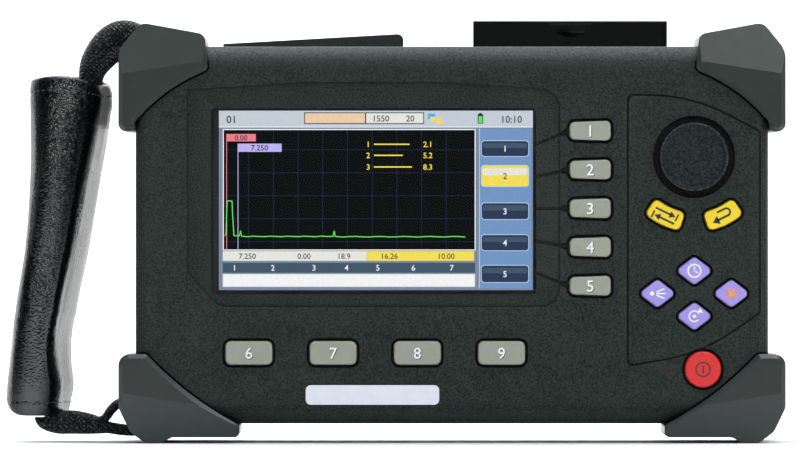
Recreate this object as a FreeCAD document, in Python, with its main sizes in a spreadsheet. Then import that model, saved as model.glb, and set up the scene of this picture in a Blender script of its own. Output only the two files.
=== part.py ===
import FreeCAD, Part
import math
import os
import Sketcher

# Hand-held optical time domain reflectometer: a two-shell case with four corner bumpers, a display,
# a keypad, a jog dial, covered ports on top, a fold-out stand and a hand strap with a padded grip.
# Lengths are in millimetres and angles in degrees. X runs across the front, Y from the front to the
# back and Z up. The unit stands on its lower bumpers and the origin is under the middle of its box.

DIMENSIONS = {
    # case
    "case_width": 222.8,
    "case_height": 133.0,
    "case_depth": 64.0,
    "case_foot": 6.8,
    "front_shell_depth": 22.0,
    "wall": 2.5,
    "front_edge_round": 9.0,
    "rear_edge_round": 8.0,
    "case_side_round": 4.0,
    "case_corner_round": 12.0,
    "seam_width": 0.5,
    "seam_depth": 0.5,
    "corner_block": 11.5,
    "inner_corner_round": 1.0,
    "press_fit": 0.01,
    # screws that hold the two shells together
    "case_screw_inset": 6.9,
    "case_screw_sink": 1.3,
    "case_screw_radius": 1.45,
    "case_screw_clearance": 0.2,
    "case_screw_head_radius": 2.7,
    "case_screw_head_height": 2.2,
    "case_screw_bite": 9.0,
    "case_screw_thread": 0.02,
    "case_screw_key": 1.16,
    "case_screw_key_depth": 1.32,
    # corner bumpers
    "bumper_proud": 3.5,
    "bumper_side": 6.0,
    "bumper_fit": 0.1,
    "bumper_bevel": 1.5,
    "bumper_facet_tilt": 10.0,
    "bumper_facet_reach": 40.0,
    "bumper_crease_slope": 8.8,
    "bumper_nose_round": 9.0,
    "bumper_corner_round": 4.0,
    "bumper_tip_round": 3.0,
    "bumper_heel_round": 2.0,
    "bumper_skirt_round": 2.8,
    "bumper_foot_round": 1.9,
    "bumper_gap_width": 0.7,
    "bumper_gap_depth": 1.0,
    # outline of an upper bumper, from the case's side and top
    "upper_crease_drop": 9.9,
    "upper_drop": 30.1,
    "upper_shoulder_drop": 1.4,
    "upper_peak_reach": 1.9,
    "upper_peak_rise": 8.3,
    "upper_tip_reach": 24.4,
    "upper_tip_rise": 4.2,
    "upper_heel_reach": 25.4,
    "upper_heel_drop": 8.3,
    "upper_bend_reach": 10.7,
    "upper_bend_drop": 14.9,
    "upper_bend_round": 60.0,
    "upper_ankle_drop": 26.6,
    "upper_ankle_out": 0.25,
    # outline of a lower bumper, from the case's side and underside
    "lower_crease_rise": 11.0,
    "lower_rise": 24.6,
    "lower_shoulder_rise": 5.7,
    "lower_corner_out": 1.9,
    "lower_corner_drop": 2.8,
    "foot_outer": 3.4,
    "foot_inner": 9.0,
    "lower_arch_reach": 12.8,
    "lower_arch_z": 2.1,
    "lower_tip_reach": 36.6,
    "lower_tip_drop": 0.5,
    "lower_bend_reach": 18.6,
    "lower_bend_rise": 9.5,
    "lower_bend_round": 120.0,
    "lower_heel_reach": 3.7,
    # display
    "screen_x": -27.6,
    "screen_z": 85.25,
    "window_width": 114.4,
    "window_height": 65.5,
    "window_round": 1.5,
    "screen_recess_depth": 0.8,
    "recess_side": 8.5,
    "recess_above": 6.5,
    "recess_below": 4.5,
    "recess_brow_rise": 2.6,
    "recess_brow_reach": 41.0,
    "recess_brow_round": 150.0,
    "recess_slant_rise": 12.0,
    "recess_slant_reach": 11.0,
    "recess_corner_round": 7.0,
    "lens_lip": 2.0,
    "lens_gap": 0.1,
    "lens_thickness": 1.2,
    "lcd_border": 4.0,
    "lcd_thickness": 4.5,
    "lcd_round": 1.0,
    # soft keys beside the display
    "f_key_x": 48.65,
    "f_key_top_z": 110.0,
    "f_key_pitch": 13.64,
    "f_key_width": 14.3,
    "f_key_height": 7.0,
    "f_key_taper": 0.5,
    "f_key_round": 1.8,
    # keys under the display
    "low_key_x": -71.5,
    "low_key_z": 31.8,
    "low_key_pitch": 29.65,
    "low_key_width": 16.4,
    "low_key_height": 8.2,
    "low_key_round": 2.0,
    # what all keys share
    "key_ring": 1.1,
    "key_ring_depth": 1.5,
    "key_gap": 0.3,
    "key_proud": 1.0,
    "key_flange": 0.9,
    "key_flange_thickness": 1.0,
    "key_flange_gap": 0.3,
    "key_edge_round": 0.6,
    "key_travel": 0.9,
    "key_stop_gap": 0.3,
    # jog dial
    "dial_x": 85.2,
    "dial_z": 100.8,
    "dial_radius": 12.7,
    "dial_gap": 1.8,
    "dial_well_depth": 3.0,
    "dial_well_wall": 2.5,
    "dial_lift": 0.8,
    "dial_height": 5.4,
    "dial_rim": 1.6,
    "dial_dish": 0.7,
    "dial_edge_round": 1.2,
    "dial_notches": 28,
    "dial_notch_radius": 0.5,
    "shaft_radius": 3.0,
    "shaft_fit": 0.05,
    "shaft_grip": 3.6,
    "shaft_tail_radius": 1.5,
    "shaft_tail_length": 2.6,
    "rotor_radius": 4.0,
    "rotor_height": 2.2,
    "rotor_gap": 0.1,
    "encoder_size": 13.0,
    "encoder_depth": 6.5,
    "encoder_cover": 0.9,
    "encoder_round": 0.8,
    # keys around the dial
    "arc_key_inner": 19.7,
    "arc_key_outer": 26.4,
    "arc_key_angle": 26.0,
    "arc_key_bend": 8.0,
    "arc_key_end": 3.0,
    "arc_key_round": 1.9,
    # four lozenge keys
    "lozenge_x": 85.3,
    "lozenge_z": 52.7,
    "lozenge_spread_x": 13.0,
    "lozenge_spread_z": 8.0,
    "lozenge_width": 12.9,
    "lozenge_height": 9.9,
    "lozenge_round": 1.5,
    # power key and charge light
    "power_x": 88.35,
    "power_z": 26.0,
    "power_radius": 6.3,
    "led_x": 75.8,
    "led_z": 25.8,
    "led_radius": 0.9,
    "led_fit": 0.1,
    "led_sink": 0.4,
    # name plate
    "plate_x": -28.0,
    "plate_z": 17.0,
    "plate_width": 47.0,
    "plate_height": 6.9,
    "plate_round": 1.8,
    "plate_thickness": 0.8,
    "plate_proud": 0.1,
    "plate_fit": 0.1,
    # line round the control panel and lines that lead from the soft keys to the display
    "line_width": 0.6,
    "line_depth": 0.6,
    "panel_left": 61.9,
    "panel_right": 108.4,
    "panel_top": 122.6,
    "panel_bottom": 27.2,
    "panel_foot_reach": 26.0,
    "panel_foot_rise": 4.6,
    "panel_side_rise": 18.8,
    "panel_shoulder_reach": 22.0,
    "panel_shoulder_drop": 12.8,
    "panel_corner_round": 2.0,
    "panel_bend_round": 60.0,
    "leader_pitch": 11.2,
    "leader_top_z": 105.0,
    "leader_width": 1.1,
    "leader_mouth": 3.2,
    "leader_neck": 3.0,
    # keypad
    "membrane_thickness": 1.1,
    "membrane_margin": 4.2,
    "keypad_board_thickness": 1.6,
    "keypad_left": 38.0,
    "keypad_right": 107.0,
    "keypad_bottom": 18.6,
    "keypad_top": 128.0,
    "keypad_low_left": -86.0,
    "keypad_low_top": 43.0,
    "keypad_post_radius": 1.8,
    "keypad_round": 2.0,
    "keypad_clearance": 0.3,
    "shaft_clearance": 0.5,
    # main board, optical module
    "main_board_thickness": 1.6,
    "main_board_width": 196.0,
    "main_board_height": 100.0,
    "main_board_z": 72.0,
    "board_post_inset": 6.0,
    "board_post_radius": 3.5,
    "board_round": 3.0,
    "optics_width": 78.0,
    "optics_height": 48.0,
    "optics_depth": 20.0,
    "optics_x": 42.0,
    "optics_z": 96.0,
    "optics_round": 2.0,
    # port bay and its lid
    "bay_x": 42.2,
    "bay_length": 69.8,
    "bay_front": 0.0,
    "bay_width": 16.0,
    "bay_depth": 12.4,
    "bay_wall": 1.6,
    "bay_fit": 0.1,
    "bay_round": 1.0,
    "bay_inner_round": 0.6,
    "lid_gap": 0.4,
    "lid_height": 12.2,
    "lid_outer": 2.5,
    "lid_rim": 1.5,
    "lid_skin": 1.2,
    "lid_wall": 0.9,
    "lid_corner_round": 2.5,
    "lid_rim_round": 0.4,
    "lid_tray_round": 2.0,
    "lid_tray_foot_round": 1.0,
    "lid_pin_radius": 0.8,
    "lid_pin_fit": 0.05,
    "lid_pin_sink": 0.2,
    "lid_scoop_curve": 37.0,
    "lid_scoop_height": 5.7,
    "lid_scoop_depth": 1.1,
    "adapter_flange": 11.0,
    "adapter_flange_thickness": 1.6,
    "adapter_barrel_radius": 4.0,
    "adapter_barrel_height": 7.0,
    "adapter_bore_radius": 1.25,
    "adapter_flange_round": 1.2,
    "adapter_bore_floor": 1.0,
    "vfl_radius": 3.4,
    "bay_port_spread": 20.0,
    # rubber cover and the sockets under it
    "flap_left": -81.0,
    "flap_length": 63.9,
    "flap_front": -1.0,
    "flap_width": 16.0,
    "flap_thin": 1.0,
    "flap_thick": 4.6,
    "flap_rise": 0.3,
    "flap_foot_round": 0.8,
    "flap_end_round": 2.2,
    "flap_edge_round": 0.3,
    "socket_x": -50.0,
    "socket_spread": 19.0,
    "socket_y": 7.0,
    "socket_width": 15.0,
    "socket_depth": 11.0,
    "socket_height": 13.0,
    "socket_round": 0.9,
    "socket_fit": 0.1,
    "socket_hole_width": 12.5,
    "socket_hole_depth": 5.2,
    "socket_hole_height": 9.0,
    "socket_hole_round": 0.5,
    "jack_hole_radius": 2.9,
    "jack_pin_radius": 0.9,
    # battery
    "battery_x": -18.0,
    "battery_z": 44.0,
    "battery_width": 88.0,
    "battery_height": 44.0,
    "battery_depth": 20.0,
    "battery_gap": 0.3,
    "battery_wall": 1.8,
    "battery_round": 3.0,
    "battery_bay_round": 2.0,
    "door_lip": 3.0,
    "door_end_lip": 7.0,
    "door_thickness": 1.5,
    "door_fit": 0.2,
    "door_round": 2.8,
    "door_screw_radius": 1.2,
    "door_screw_head_radius": 2.2,
    "door_screw_head_height": 0.9,
    "door_screw_length": 7.0,
    "door_screw_drop": 14.0,
    "door_boss_radius": 3.4,
    "door_boss_height": 7.0,
    # fold-out stand
    "stand_width": 92.0,
    "stand_height": 62.0,
    "stand_arm": 8.0,
    "stand_thickness": 2.4,
    "stand_corner_round": 6.0,
    "stand_inner_round": 3.0,
    "stand_edge_round": 1.15,
    "stand_gap": 0.35,
    "stand_z": 104.0,
    "stand_pin_radius": 0.75,
    "stand_pin_fit": 0.05,
    "stand_lug_width": 5.0,
    "stand_lug_reach": 3.0,
    "stand_lug_foot": 1.0,
    "stand_lug_cover": 0.9,
    "stand_lug_round": 1.0,
    # hand strap and padded grip
    "strap_width": 18.0,
    "strap_bar_radius": 1.4,
    "strap_bar_lift": 3.9,
    "strap_slot_width": 20.0,
    "strap_slot_radius": 10.2,
    "strap_bunch": 13.0,
    "strap_top_offset": 7.2,
    "strap_ground_gap": 1.9,
    "soft_gap": 0.3,
    "grip_top_x": -135.2,
    "grip_top_z": 128.0,
    "grip_bottom_x": -146.4,
    "grip_bottom_z": 9.8,
    "grip_top_width": 28.8,
    "grip_upper_width": 25.7,
    "grip_middle_width": 22.0,
    "grip_low_width": 20.6,
    "grip_bottom_width": 23.0,
    "grip_depth": 38.0,
    "grip_round_share": 0.42,
    "grip_low_rise": 30.0,
    "grip_low_lean": 1.9,
    "grip_middle_rise": 58.0,
    "grip_middle_lean": 6.5,
    "grip_upper_drop": 23.0,
    "grip_upper_lean": 1.2,
}

os.makedirs("parts", exist_ok=True)
doc = FreeCAD.newDocument("reflectometer")
sheet = doc.addObject("Spreadsheet::Sheet", "Dims")
for row, (alias, value) in enumerate(DIMENSIONS.items(), start=1):
    sheet.set(f"A{row}", alias.replace("_", " "))
    sheet.set(f"B{row}", str(value))
    sheet.setAlias(f"B{row}", alias)
doc.recompute()


class Size(float):
    """A number that remembers the spreadsheet formula it comes from."""

    def __new__(cls, value, formula=None):
        size = float.__new__(cls, value)
        size.formula = formula or repr(float(value))
        return size

    def combined(self, other, symbol, value, swapped=False):
        left, right = formula(self), formula(other)
        if swapped:
            left, right = right, left
        return Size(value, f"({left} {symbol} {right})")

    def __add__(self, other):
        return self.combined(other, "+", float(self) + float(other))

    def __radd__(self, other):
        return self.combined(other, "+", float(other) + float(self), swapped=True)

    def __sub__(self, other):
        return self.combined(other, "-", float(self) - float(other))

    def __rsub__(self, other):
        return self.combined(other, "-", float(other) - float(self), swapped=True)

    def __mul__(self, other):
        return self.combined(other, "*", float(self) * float(other))

    def __rmul__(self, other):
        return self.combined(other, "*", float(other) * float(self), swapped=True)

    def __truediv__(self, other):
        return self.combined(other, "/", float(self) / float(other))

    def __neg__(self):
        return Size(-float(self), f"(0 - {self.formula})")


def formula(value):
    return value.formula if isinstance(value, Size) else repr(float(value))


def sine(angle):
    return Size(math.sin(math.radians(angle)), f"sin({formula(angle)} * 1 deg)")


def cosine(angle):
    return Size(math.cos(math.radians(angle)), f"cos({formula(angle)} * 1 deg)")


class Dims:
    """Every spreadsheet size by its alias."""


d = Dims()
for alias, value in DIMENSIONS.items():
    setattr(d, alias, Size(value, f"Dims.{alias}"))


def bind(target, path, value):
    """Set a property, or a part of one, to the formula of a size."""
    target.setExpression(path, formula(value))


def place(target, x=0.0, y=0.0, z=0.0):
    for axis, value in (("x", case_x + x), ("y", Size(y, formula(y))), ("z", Size(z, formula(z)))):
        bind(target, f"Placement.Base.{axis}", value)


def new_body(name):
    made = doc.addObject("PartDesign::Body", name)
    made.Label = name
    return made


def new_sketch(body, plane, x=0.0, y=0.0, z=0.0, turn=None):
    """Sketch on an origin plane of its body, moved to a point and turned about its own normal."""
    sketch = body.newObject("Sketcher::SketchObject", f"{body.Name}_sketch")
    origin_plane = [item for item in body.Origin.OriginFeatures if item.Role == plane][0]
    sketch.AttachmentSupport = [(origin_plane, "")]
    sketch.MapMode = "FlatFace"
    local = {"XZ_Plane": (x, z, -y), "YZ_Plane": (y, z, x), "XY_Plane": (x, y, z)}[plane]
    if turn is not None:
        axis, angle = turn
        rotation = FreeCAD.Rotation(axis, float(angle))
        sketch.AttachmentOffset = FreeCAD.Placement(FreeCAD.Vector(), rotation)
        bind(sketch, "AttachmentOffset.Rotation.Angle", abs_angle(angle))
    for letter, value in zip("xyz", local):
        bind(sketch, f"AttachmentOffset.Base.{letter}", value)
    return sketch


def abs_angle(angle):
    return Size(abs(float(angle)), f"abs({formula(angle)})")


def add_rules(sketch, rules):
    """Add constraints in one go and bind those that carry a size."""
    first = sketch.ConstraintCount
    sketch.addConstraint([rule for rule, _ in rules])
    for index, (_, value) in enumerate(rules, start=first):
        if value is not None:
            sketch.setExpression(f"Constraints[{index}]", formula(value))


def point_rules(geometry, position, x, y):
    return [(Sketcher.Constraint("DistanceX", -1, 1, geometry, position, float(x)), x),
            (Sketcher.Constraint("DistanceY", -1, 1, geometry, position, float(y)), y)]


def circle(sketch, radius, x=0.0, y=0.0):
    middle = FreeCAD.Vector(float(x), float(y), 0)
    index = sketch.addGeometry(Part.Circle(middle, FreeCAD.Vector(0, 0, 1), float(radius)))
    rules = point_rules(index, 3, x, y)
    rules.append((Sketcher.Constraint("Radius", index, float(radius)), radius))
    add_rules(sketch, rules)


def outline(sketch, corners):
    """Closed outline through the corners (x, y, radius), each corner rounded by its radius."""
    count = len(corners)
    points = [FreeCAD.Vector(float(x), float(y), 0) for x, y, _ in corners]
    arrive, leave, middles, turns = [], [], [], []
    for index, point in enumerate(points):
        back = (points[index - 1] - point).normalize()
        ahead = (points[(index + 1) % count] - point).normalize()
        half = back.getAngle(ahead) / 2
        radius = float(corners[index][2])
        reach = radius / math.tan(half)
        arrive.append(point + back * reach)
        leave.append(point + ahead * reach)
        middles.append(point + (back + ahead).normalize() * (radius / math.sin(half)))
        turns.append(back.cross(ahead).z < 0)
    lines = [sketch.addGeometry(Part.LineSegment(leave[index], arrive[(index + 1) % count]))
             for index in range(count)]
    rules = []
    for index, (x, y, radius) in enumerate(corners):
        before, after = lines[index - 1], lines[index]
        if float(radius) == 0:
            rules.append((Sketcher.Constraint("Coincident", before, 2, after, 1), None))
            rules.extend(point_rules(after, 1, x, y))
            continue
        first, last = (arrive, leave) if turns[index] else (leave, arrive)
        start = first[index] - middles[index]
        end = last[index] - middles[index]
        ring = Part.Circle(middles[index], FreeCAD.Vector(0, 0, 1), float(radius))
        arc = sketch.addGeometry(Part.ArcOfCircle(ring, math.atan2(start.y, start.x),
                                                  math.atan2(end.y, end.x)))
        near, far = (1, 2) if turns[index] else (2, 1)
        mark = sketch.addGeometry(Part.Point(points[index]), True)
        rules.append((Sketcher.Constraint("Tangent", before, 2, arc, near), None))
        rules.append((Sketcher.Constraint("Tangent", arc, far, after, 1), None))
        rules.append((Sketcher.Constraint("Radius", arc, float(radius)), radius))
        rules.append((Sketcher.Constraint("PointOnObject", mark, 1, before), None))
        rules.append((Sketcher.Constraint("PointOnObject", mark, 1, after), None))
        rules.extend(point_rules(mark, 1, x, y))
    add_rules(sketch, rules)


def bowl_section(sketch, curve, low, top):
    """Half section of a round bowl about the sketch's upright axis, from its lowest point to a level."""
    middle = low + curve
    rise = float(top - low)
    reach = math.sqrt(2 * float(curve) * rise - rise * rise)
    axis_top = FreeCAD.Vector(0, float(top), 0)
    axis_low = FreeCAD.Vector(0, float(low), 0)
    rim = FreeCAD.Vector(reach, float(top), 0)
    ring = Part.Circle(FreeCAD.Vector(0, float(middle), 0), FreeCAD.Vector(0, 0, 1), float(curve))
    end = math.atan2(float(top - middle), reach)
    cover = sketch.addGeometry(Part.LineSegment(axis_top, rim))
    axis = sketch.addGeometry(Part.LineSegment(axis_low, axis_top))
    arc = sketch.addGeometry(Part.ArcOfCircle(ring, -math.pi / 2, end))
    rules = [(Sketcher.Constraint("Coincident", cover, 2, arc, 2), None),
             (Sketcher.Constraint("Coincident", arc, 1, axis, 1), None),
             (Sketcher.Constraint("Coincident", axis, 2, cover, 1), None),
             (Sketcher.Constraint("Horizontal", cover), None),
             (Sketcher.Constraint("PointOnObject", arc, 3, -2), None),
             (Sketcher.Constraint("Radius", arc, float(curve)), curve)]
    rules.extend(point_rules(cover, 1, Size(0.0), top))
    rules.extend(point_rules(axis, 1, Size(0.0), low))
    add_rules(sketch, rules)


def rectangle(x, y, width, height, radius=0.0):
    """Corners of a rectangle about a middle point."""
    left, right = x - width / 2, x + width / 2
    low, high = y - height / 2, y + height / 2
    return [(left, low, radius), (right, low, radius), (right, high, radius), (left, high, radius)]


def grown_outline(corners, amount):
    """The same outline moved outwards by an amount, square to each of its sides."""
    points = [FreeCAD.Vector(float(x), float(y), 0) for x, y, _ in corners]
    count = len(points)
    swept = sum(points[index - 1].cross(points[index]).z for index in range(count))
    outward = FreeCAD.Vector(0, 0, math.copysign(1, swept))
    grown = []
    for index, (x, y, radius) in enumerate(corners):
        arriving = (points[index] - points[index - 1]).normalize()
        leaving = (points[(index + 1) % count] - points[index]).normalize()
        square_in, square_out = arriving.cross(outward), leaving.cross(outward)
        shift = (square_in + square_out) * (1 / (1 + square_in.dot(square_out)))
        bulge = math.copysign(1, arriving.cross(leaving).dot(outward))
        grown.append((x + amount * shift.x, y + amount * shift.y, radius + amount * bulge))
    return grown


def feature(body, kind, sketch, length, backwards=False, both_ways=False):
    """Pad or Pocket of a sketch, checked to change the solid."""
    before = body.Shape.Volume if body.Tip else 0.0
    made = body.newObject(f"PartDesign::{kind}", f"{body.Name}_{kind.lower()}")
    made.Profile = sketch
    made.Length = float(length)
    bind(made, "Length", length)
    made.Reversed = backwards
    made.Refine = False
    if both_ways:
        made.Midplane = True
    sketch.Visibility = False
    doc.recompute()
    change = body.Shape.Volume - before
    if "Invalid" in made.State:
        raise RuntimeError(f"{made.Name} fails")
    if (change <= 0) if kind == "Pad" else (change >= 0):
        raise RuntimeError(f"{made.Name} does not change {body.Name}: {change:.3f}")
    return made


def pad(body, sketch, length, backwards=False, both_ways=False):
    return feature(body, "Pad", sketch, length, backwards, both_ways)


def pocket(body, sketch, length, backwards=False, both_ways=False):
    return feature(body, "Pocket", sketch, length, backwards, both_ways)


def edges_where(shape, test):
    return [f"Edge{number}" for number, edge in enumerate(shape.Edges, start=1) if test(edge)]


def round_edges(body, test, radius, kind="Fillet"):
    """Fillet or chamfer the edges of the tip that pass a test."""
    base = body.Tip
    names = edges_where(base.Shape, test)
    if not names:
        raise RuntimeError(f"no edge to round on {body.Name}")
    made = body.newObject(f"PartDesign::{kind}", f"{body.Name}_{kind.lower()}")
    made.Base = (base, names)
    path = "Radius" if kind == "Fillet" else "Size"
    setattr(made, path, float(radius))
    bind(made, path, radius)
    doc.recompute()
    return made


def flat_at(axis, value, slack=0.01):
    """Test for edges that lie whole in the plane axis = value."""
    low, high = f"{axis}Min", f"{axis}Max"

    def test(edge):
        box = edge.BoundBox
        return abs(getattr(box, low) - value) < slack and abs(getattr(box, high) - value) < slack
    return test


nodes = []


def keep(target):
    nodes.append(target)
    return target


# ---- places that several pieces share -------------------------------------------------------------

case_x = ((d.grip_bottom_width / 2 - d.grip_bottom_x) - (d.case_width / 2 + d.bumper_side)) / 2
case_side = d.case_width / 2
case_top = d.case_foot + d.case_height
face_y = -d.case_depth / 2
back_y = d.case_depth / 2
parting_y = face_y + d.front_shell_depth
inner_face_y = face_y + d.wall
inner_back_y = back_y - d.wall
key_back_y = inner_face_y + d.key_flange_gap + d.key_flange_thickness
membrane_y = key_back_y + d.key_travel + d.key_stop_gap
keypad_board_y = membrane_y + d.membrane_thickness
encoder_y = keypad_board_y + d.keypad_board_thickness
screw_x = case_side - d.case_screw_inset
screw_low_z = d.case_foot + d.case_screw_inset
screw_high_z = case_top - d.case_screw_inset
screw_seat_y = back_y - d.case_screw_sink - d.case_screw_head_height
bumper_x = case_side + d.bumper_side
ankle_x = case_side + d.upper_ankle_out
UPPER_BUMPER = [(bumper_x, case_top - d.upper_drop, d.bumper_skirt_round),
                (bumper_x, case_top - d.upper_shoulder_drop, d.bumper_nose_round),
                (case_side - d.upper_peak_reach, case_top + d.upper_peak_rise, d.bumper_corner_round),
                (case_side - d.upper_tip_reach, case_top + d.upper_tip_rise, d.bumper_tip_round),
                (case_side - d.upper_heel_reach, case_top - d.upper_heel_drop, d.bumper_heel_round),
                (case_side - d.upper_bend_reach, case_top - d.upper_bend_drop, d.upper_bend_round),
                (ankle_x, case_top - d.upper_ankle_drop, d.bumper_heel_round),
                (ankle_x, case_top - d.upper_drop, d.bumper_foot_round)]
LOWER_BUMPER = [(bumper_x, d.case_foot + d.lower_shoulder_rise, d.bumper_corner_round),
                (case_side + d.lower_corner_out, d.case_foot - d.lower_corner_drop, d.bumper_corner_round),
                (case_side - d.foot_outer, Size(0.0), d.bumper_corner_round),
                (case_side - d.foot_inner, Size(0.0), d.bumper_tip_round),
                (case_side - d.lower_arch_reach, d.lower_arch_z, d.bumper_tip_round),
                (case_side - d.lower_tip_reach, d.lower_arch_z, d.bumper_foot_round),
                (case_side - d.lower_tip_reach, d.case_foot - d.lower_tip_drop, d.bumper_foot_round),
                (case_side - d.lower_bend_reach, d.case_foot + d.lower_bend_rise, d.lower_bend_round),
                (case_side - d.lower_heel_reach, d.case_foot + d.lower_rise, d.bumper_heel_round),
                (bumper_x, d.case_foot + d.lower_rise, d.bumper_corner_round)]


def casing_form(body, front, back, front_round, back_round, grow=0.0):
    """Closed case between two depths, rounded in the side view, the front view and the top view."""
    low, high = d.case_foot - grow, case_top + grow
    side_view = new_sketch(body, "YZ_Plane")
    outline(side_view, [(front, low, front_round), (back, low, back_round),
                        (back, high, back_round), (front, high, front_round)])
    pad(body, side_view, d.case_width + grow * 2, both_ways=True)
    corners = new_sketch(body, "XZ_Plane")
    middle_z = d.case_foot + d.case_height / 2
    width, height = d.case_width + grow * 2, d.case_height + grow * 2
    outline(corners, rectangle(0.0, middle_z, width + d.wall * 4, height + d.wall * 4))
    outline(corners, rectangle(0.0, middle_z, width, height, d.case_corner_round + grow))
    pocket(body, corners, d.case_depth * 2, both_ways=True)
    sides = new_sketch(body, "XY_Plane", z=middle_z)
    front_side = d.case_side_round if front_round else Size(0.0)
    back_side = d.case_side_round if back_round else Size(0.0)
    outline(sides, rectangle(0.0, (front + back) / 2, width + d.wall * 4, d.case_depth * 2))
    outline(sides, [(-width / 2, front, front_side), (width / 2, front, front_side),
                    (width / 2, back, back_side), (-width / 2, back, back_side)])
    pocket(body, sides, d.case_height * 2, both_ways=True)


def hollow(body, start, floor, floor_round):
    """Inside of a shell, one wall thinner all round; the four corners stay solid for the screws."""
    side_view = new_sketch(body, "YZ_Plane")
    low, high = d.case_foot + d.wall, case_top - d.wall
    past = start + (start - floor) / 4
    outline(side_view, [(floor, low, floor_round), (past, low, 0.0),
                        (past, high, 0.0), (floor, high, floor_round)])
    pocket(body, side_view, d.case_width - d.corner_block * 2, both_ways=True)
    inside = new_sketch(body, "XZ_Plane", y=start)
    outline(inside, rectangle(0.0, d.case_foot + d.case_height / 2, d.case_width - d.wall * 2,
                              d.case_height - d.corner_block * 2, d.inner_corner_round))
    depth = start - floor
    pocket(body, inside, Size(abs(depth), f"abs({depth.formula})"), backwards=depth > 0)


def bumper_gutters(body, face, backwards):
    """Narrow gutters in a face of the case along the inner edges of the four bumpers."""
    for side in (-1, 1):
        for points, first, last in ((UPPER_BUMPER, 3, 6), (LOWER_BUMPER, 6, 9)):
            whole = [(side * x, z, radius) for x, z, radius in points]
            edge = whole[first:last + 1]
            band = edge + grown_outline(whole, d.bumper_gap_width)[first:last + 1][::-1]
            ends = (0, len(edge) - 1, len(edge), len(band) - 1)
            gutter = new_sketch(body, "XZ_Plane", y=face)
            outline(gutter, [(x, z, 0.0 if index in ends else radius)
                             for index, (x, z, radius) in enumerate(band)])
            pocket(body, gutter, d.bumper_gap_depth, backwards=backwards)


def four_corners():
    return [(side * screw_x, z) for side in (-1, 1) for z in (screw_low_z, screw_high_z)]


# ---- outlines of the keys, about their own middles --------------------------------------------------

def f_key_outline(grow=0.0):
    half_width = d.f_key_width / 2 + grow
    right = d.f_key_height / 2 + grow
    left = right - d.f_key_taper
    radius = d.f_key_round + grow
    return [(-half_width, -left, radius), (half_width, -right, radius),
            (half_width, right, radius), (-half_width, left, radius)]


def low_key_outline(grow=0.0):
    return rectangle(0.0, 0.0, d.low_key_width + grow * 2, d.low_key_height + grow * 2,
                     d.low_key_round + grow)


def lozenge_outline(grow=0.0):
    """Four-sided key whose points are rounded; growing keeps the flanks parallel."""
    slant = (d.lozenge_width * d.lozenge_width + d.lozenge_height * d.lozenge_height)
    slope = Size(math.sqrt(slant), f"sqrt({slant.formula})")
    half_width = d.lozenge_width / 2 + slope / d.lozenge_height * grow
    half_height = d.lozenge_height / 2 + slope / d.lozenge_width * grow
    radius = d.lozenge_round + grow
    return [(-half_width, 0.0, radius), (0.0, -half_height, radius),
            (half_width, 0.0, radius), (0.0, half_height, radius)]


def arc_key_outline(grow=0.0):
    """Key bent round the dial, drawn straight below it and turned into place by its sketch."""
    inner, outer = d.arc_key_inner - grow, d.arc_key_outer + grow
    sin_bend, cos_bend = sine(d.arc_key_bend), cosine(d.arc_key_bend)
    reach = d.arc_key_end + grow
    radius = d.arc_key_round + grow
    outer_x = outer * sin_bend + reach * cos_bend
    outer_z = outer * cos_bend - reach * sin_bend
    inner_x = inner * sin_bend + reach * cos_bend
    inner_z = inner * cos_bend - reach * sin_bend
    return [(-outer_x, -outer_z, radius), (0.0, -outer / cos_bend, outer), (outer_x, -outer_z, radius),
            (inner_x, -inner_z, radius), (0.0, -inner / cos_bend, inner), (-inner_x, -inner_z, radius)]


def power_outline(grow=0.0):
    return d.power_radius + grow


def draw(sketch, shape, x=0.0, y=0.0):
    if isinstance(shape, list):
        outline(sketch, [(corner_x + x, corner_y + y, radius) for corner_x, corner_y, radius in shape])
    else:
        circle(sketch, shape, x, y)


# outline, turn about the middle, and the name and middle of each key of the group
KEY_GROUPS = [
    (f_key_outline, None,
     [(f"key_soft_{number + 1}", d.f_key_x, d.f_key_top_z - d.f_key_pitch * number)
      for number in range(5)]),
    (low_key_outline, None,
     [(name, d.low_key_x + d.low_key_pitch * number, d.low_key_z)
      for number, name in enumerate(("key_menu", "key_file", "key_setup", "key_result"))]),
    (lozenge_outline, None,
     [("key_real_time", d.lozenge_x, d.lozenge_z + d.lozenge_spread_z),
      ("key_auto", d.lozenge_x, d.lozenge_z - d.lozenge_spread_z),
      ("key_light_source", d.lozenge_x - d.lozenge_spread_x, d.lozenge_z),
      ("key_test", d.lozenge_x + d.lozenge_spread_x, d.lozenge_z)]),
    (power_outline, None, [("key_power", d.power_x, d.power_z)]),
    (arc_key_outline, -d.arc_key_angle, [("key_tab", d.dial_x, d.dial_z)]),
    (arc_key_outline, d.arc_key_angle, [("key_escape", d.dial_x, d.dial_z)]),
]


def key_turn(angle):
    return None if angle is None else (FreeCAD.Vector(0, 0, math.copysign(1, angle)), abs_angle(angle))


# ---- front shell: display window, key openings, dial well -------------------------------------------

front = new_body("front_casing")
casing_form(front, face_y, parting_y, d.front_edge_round, 0.0)
hollow(front, parting_y, inner_face_y, d.front_edge_round - d.wall)

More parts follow.
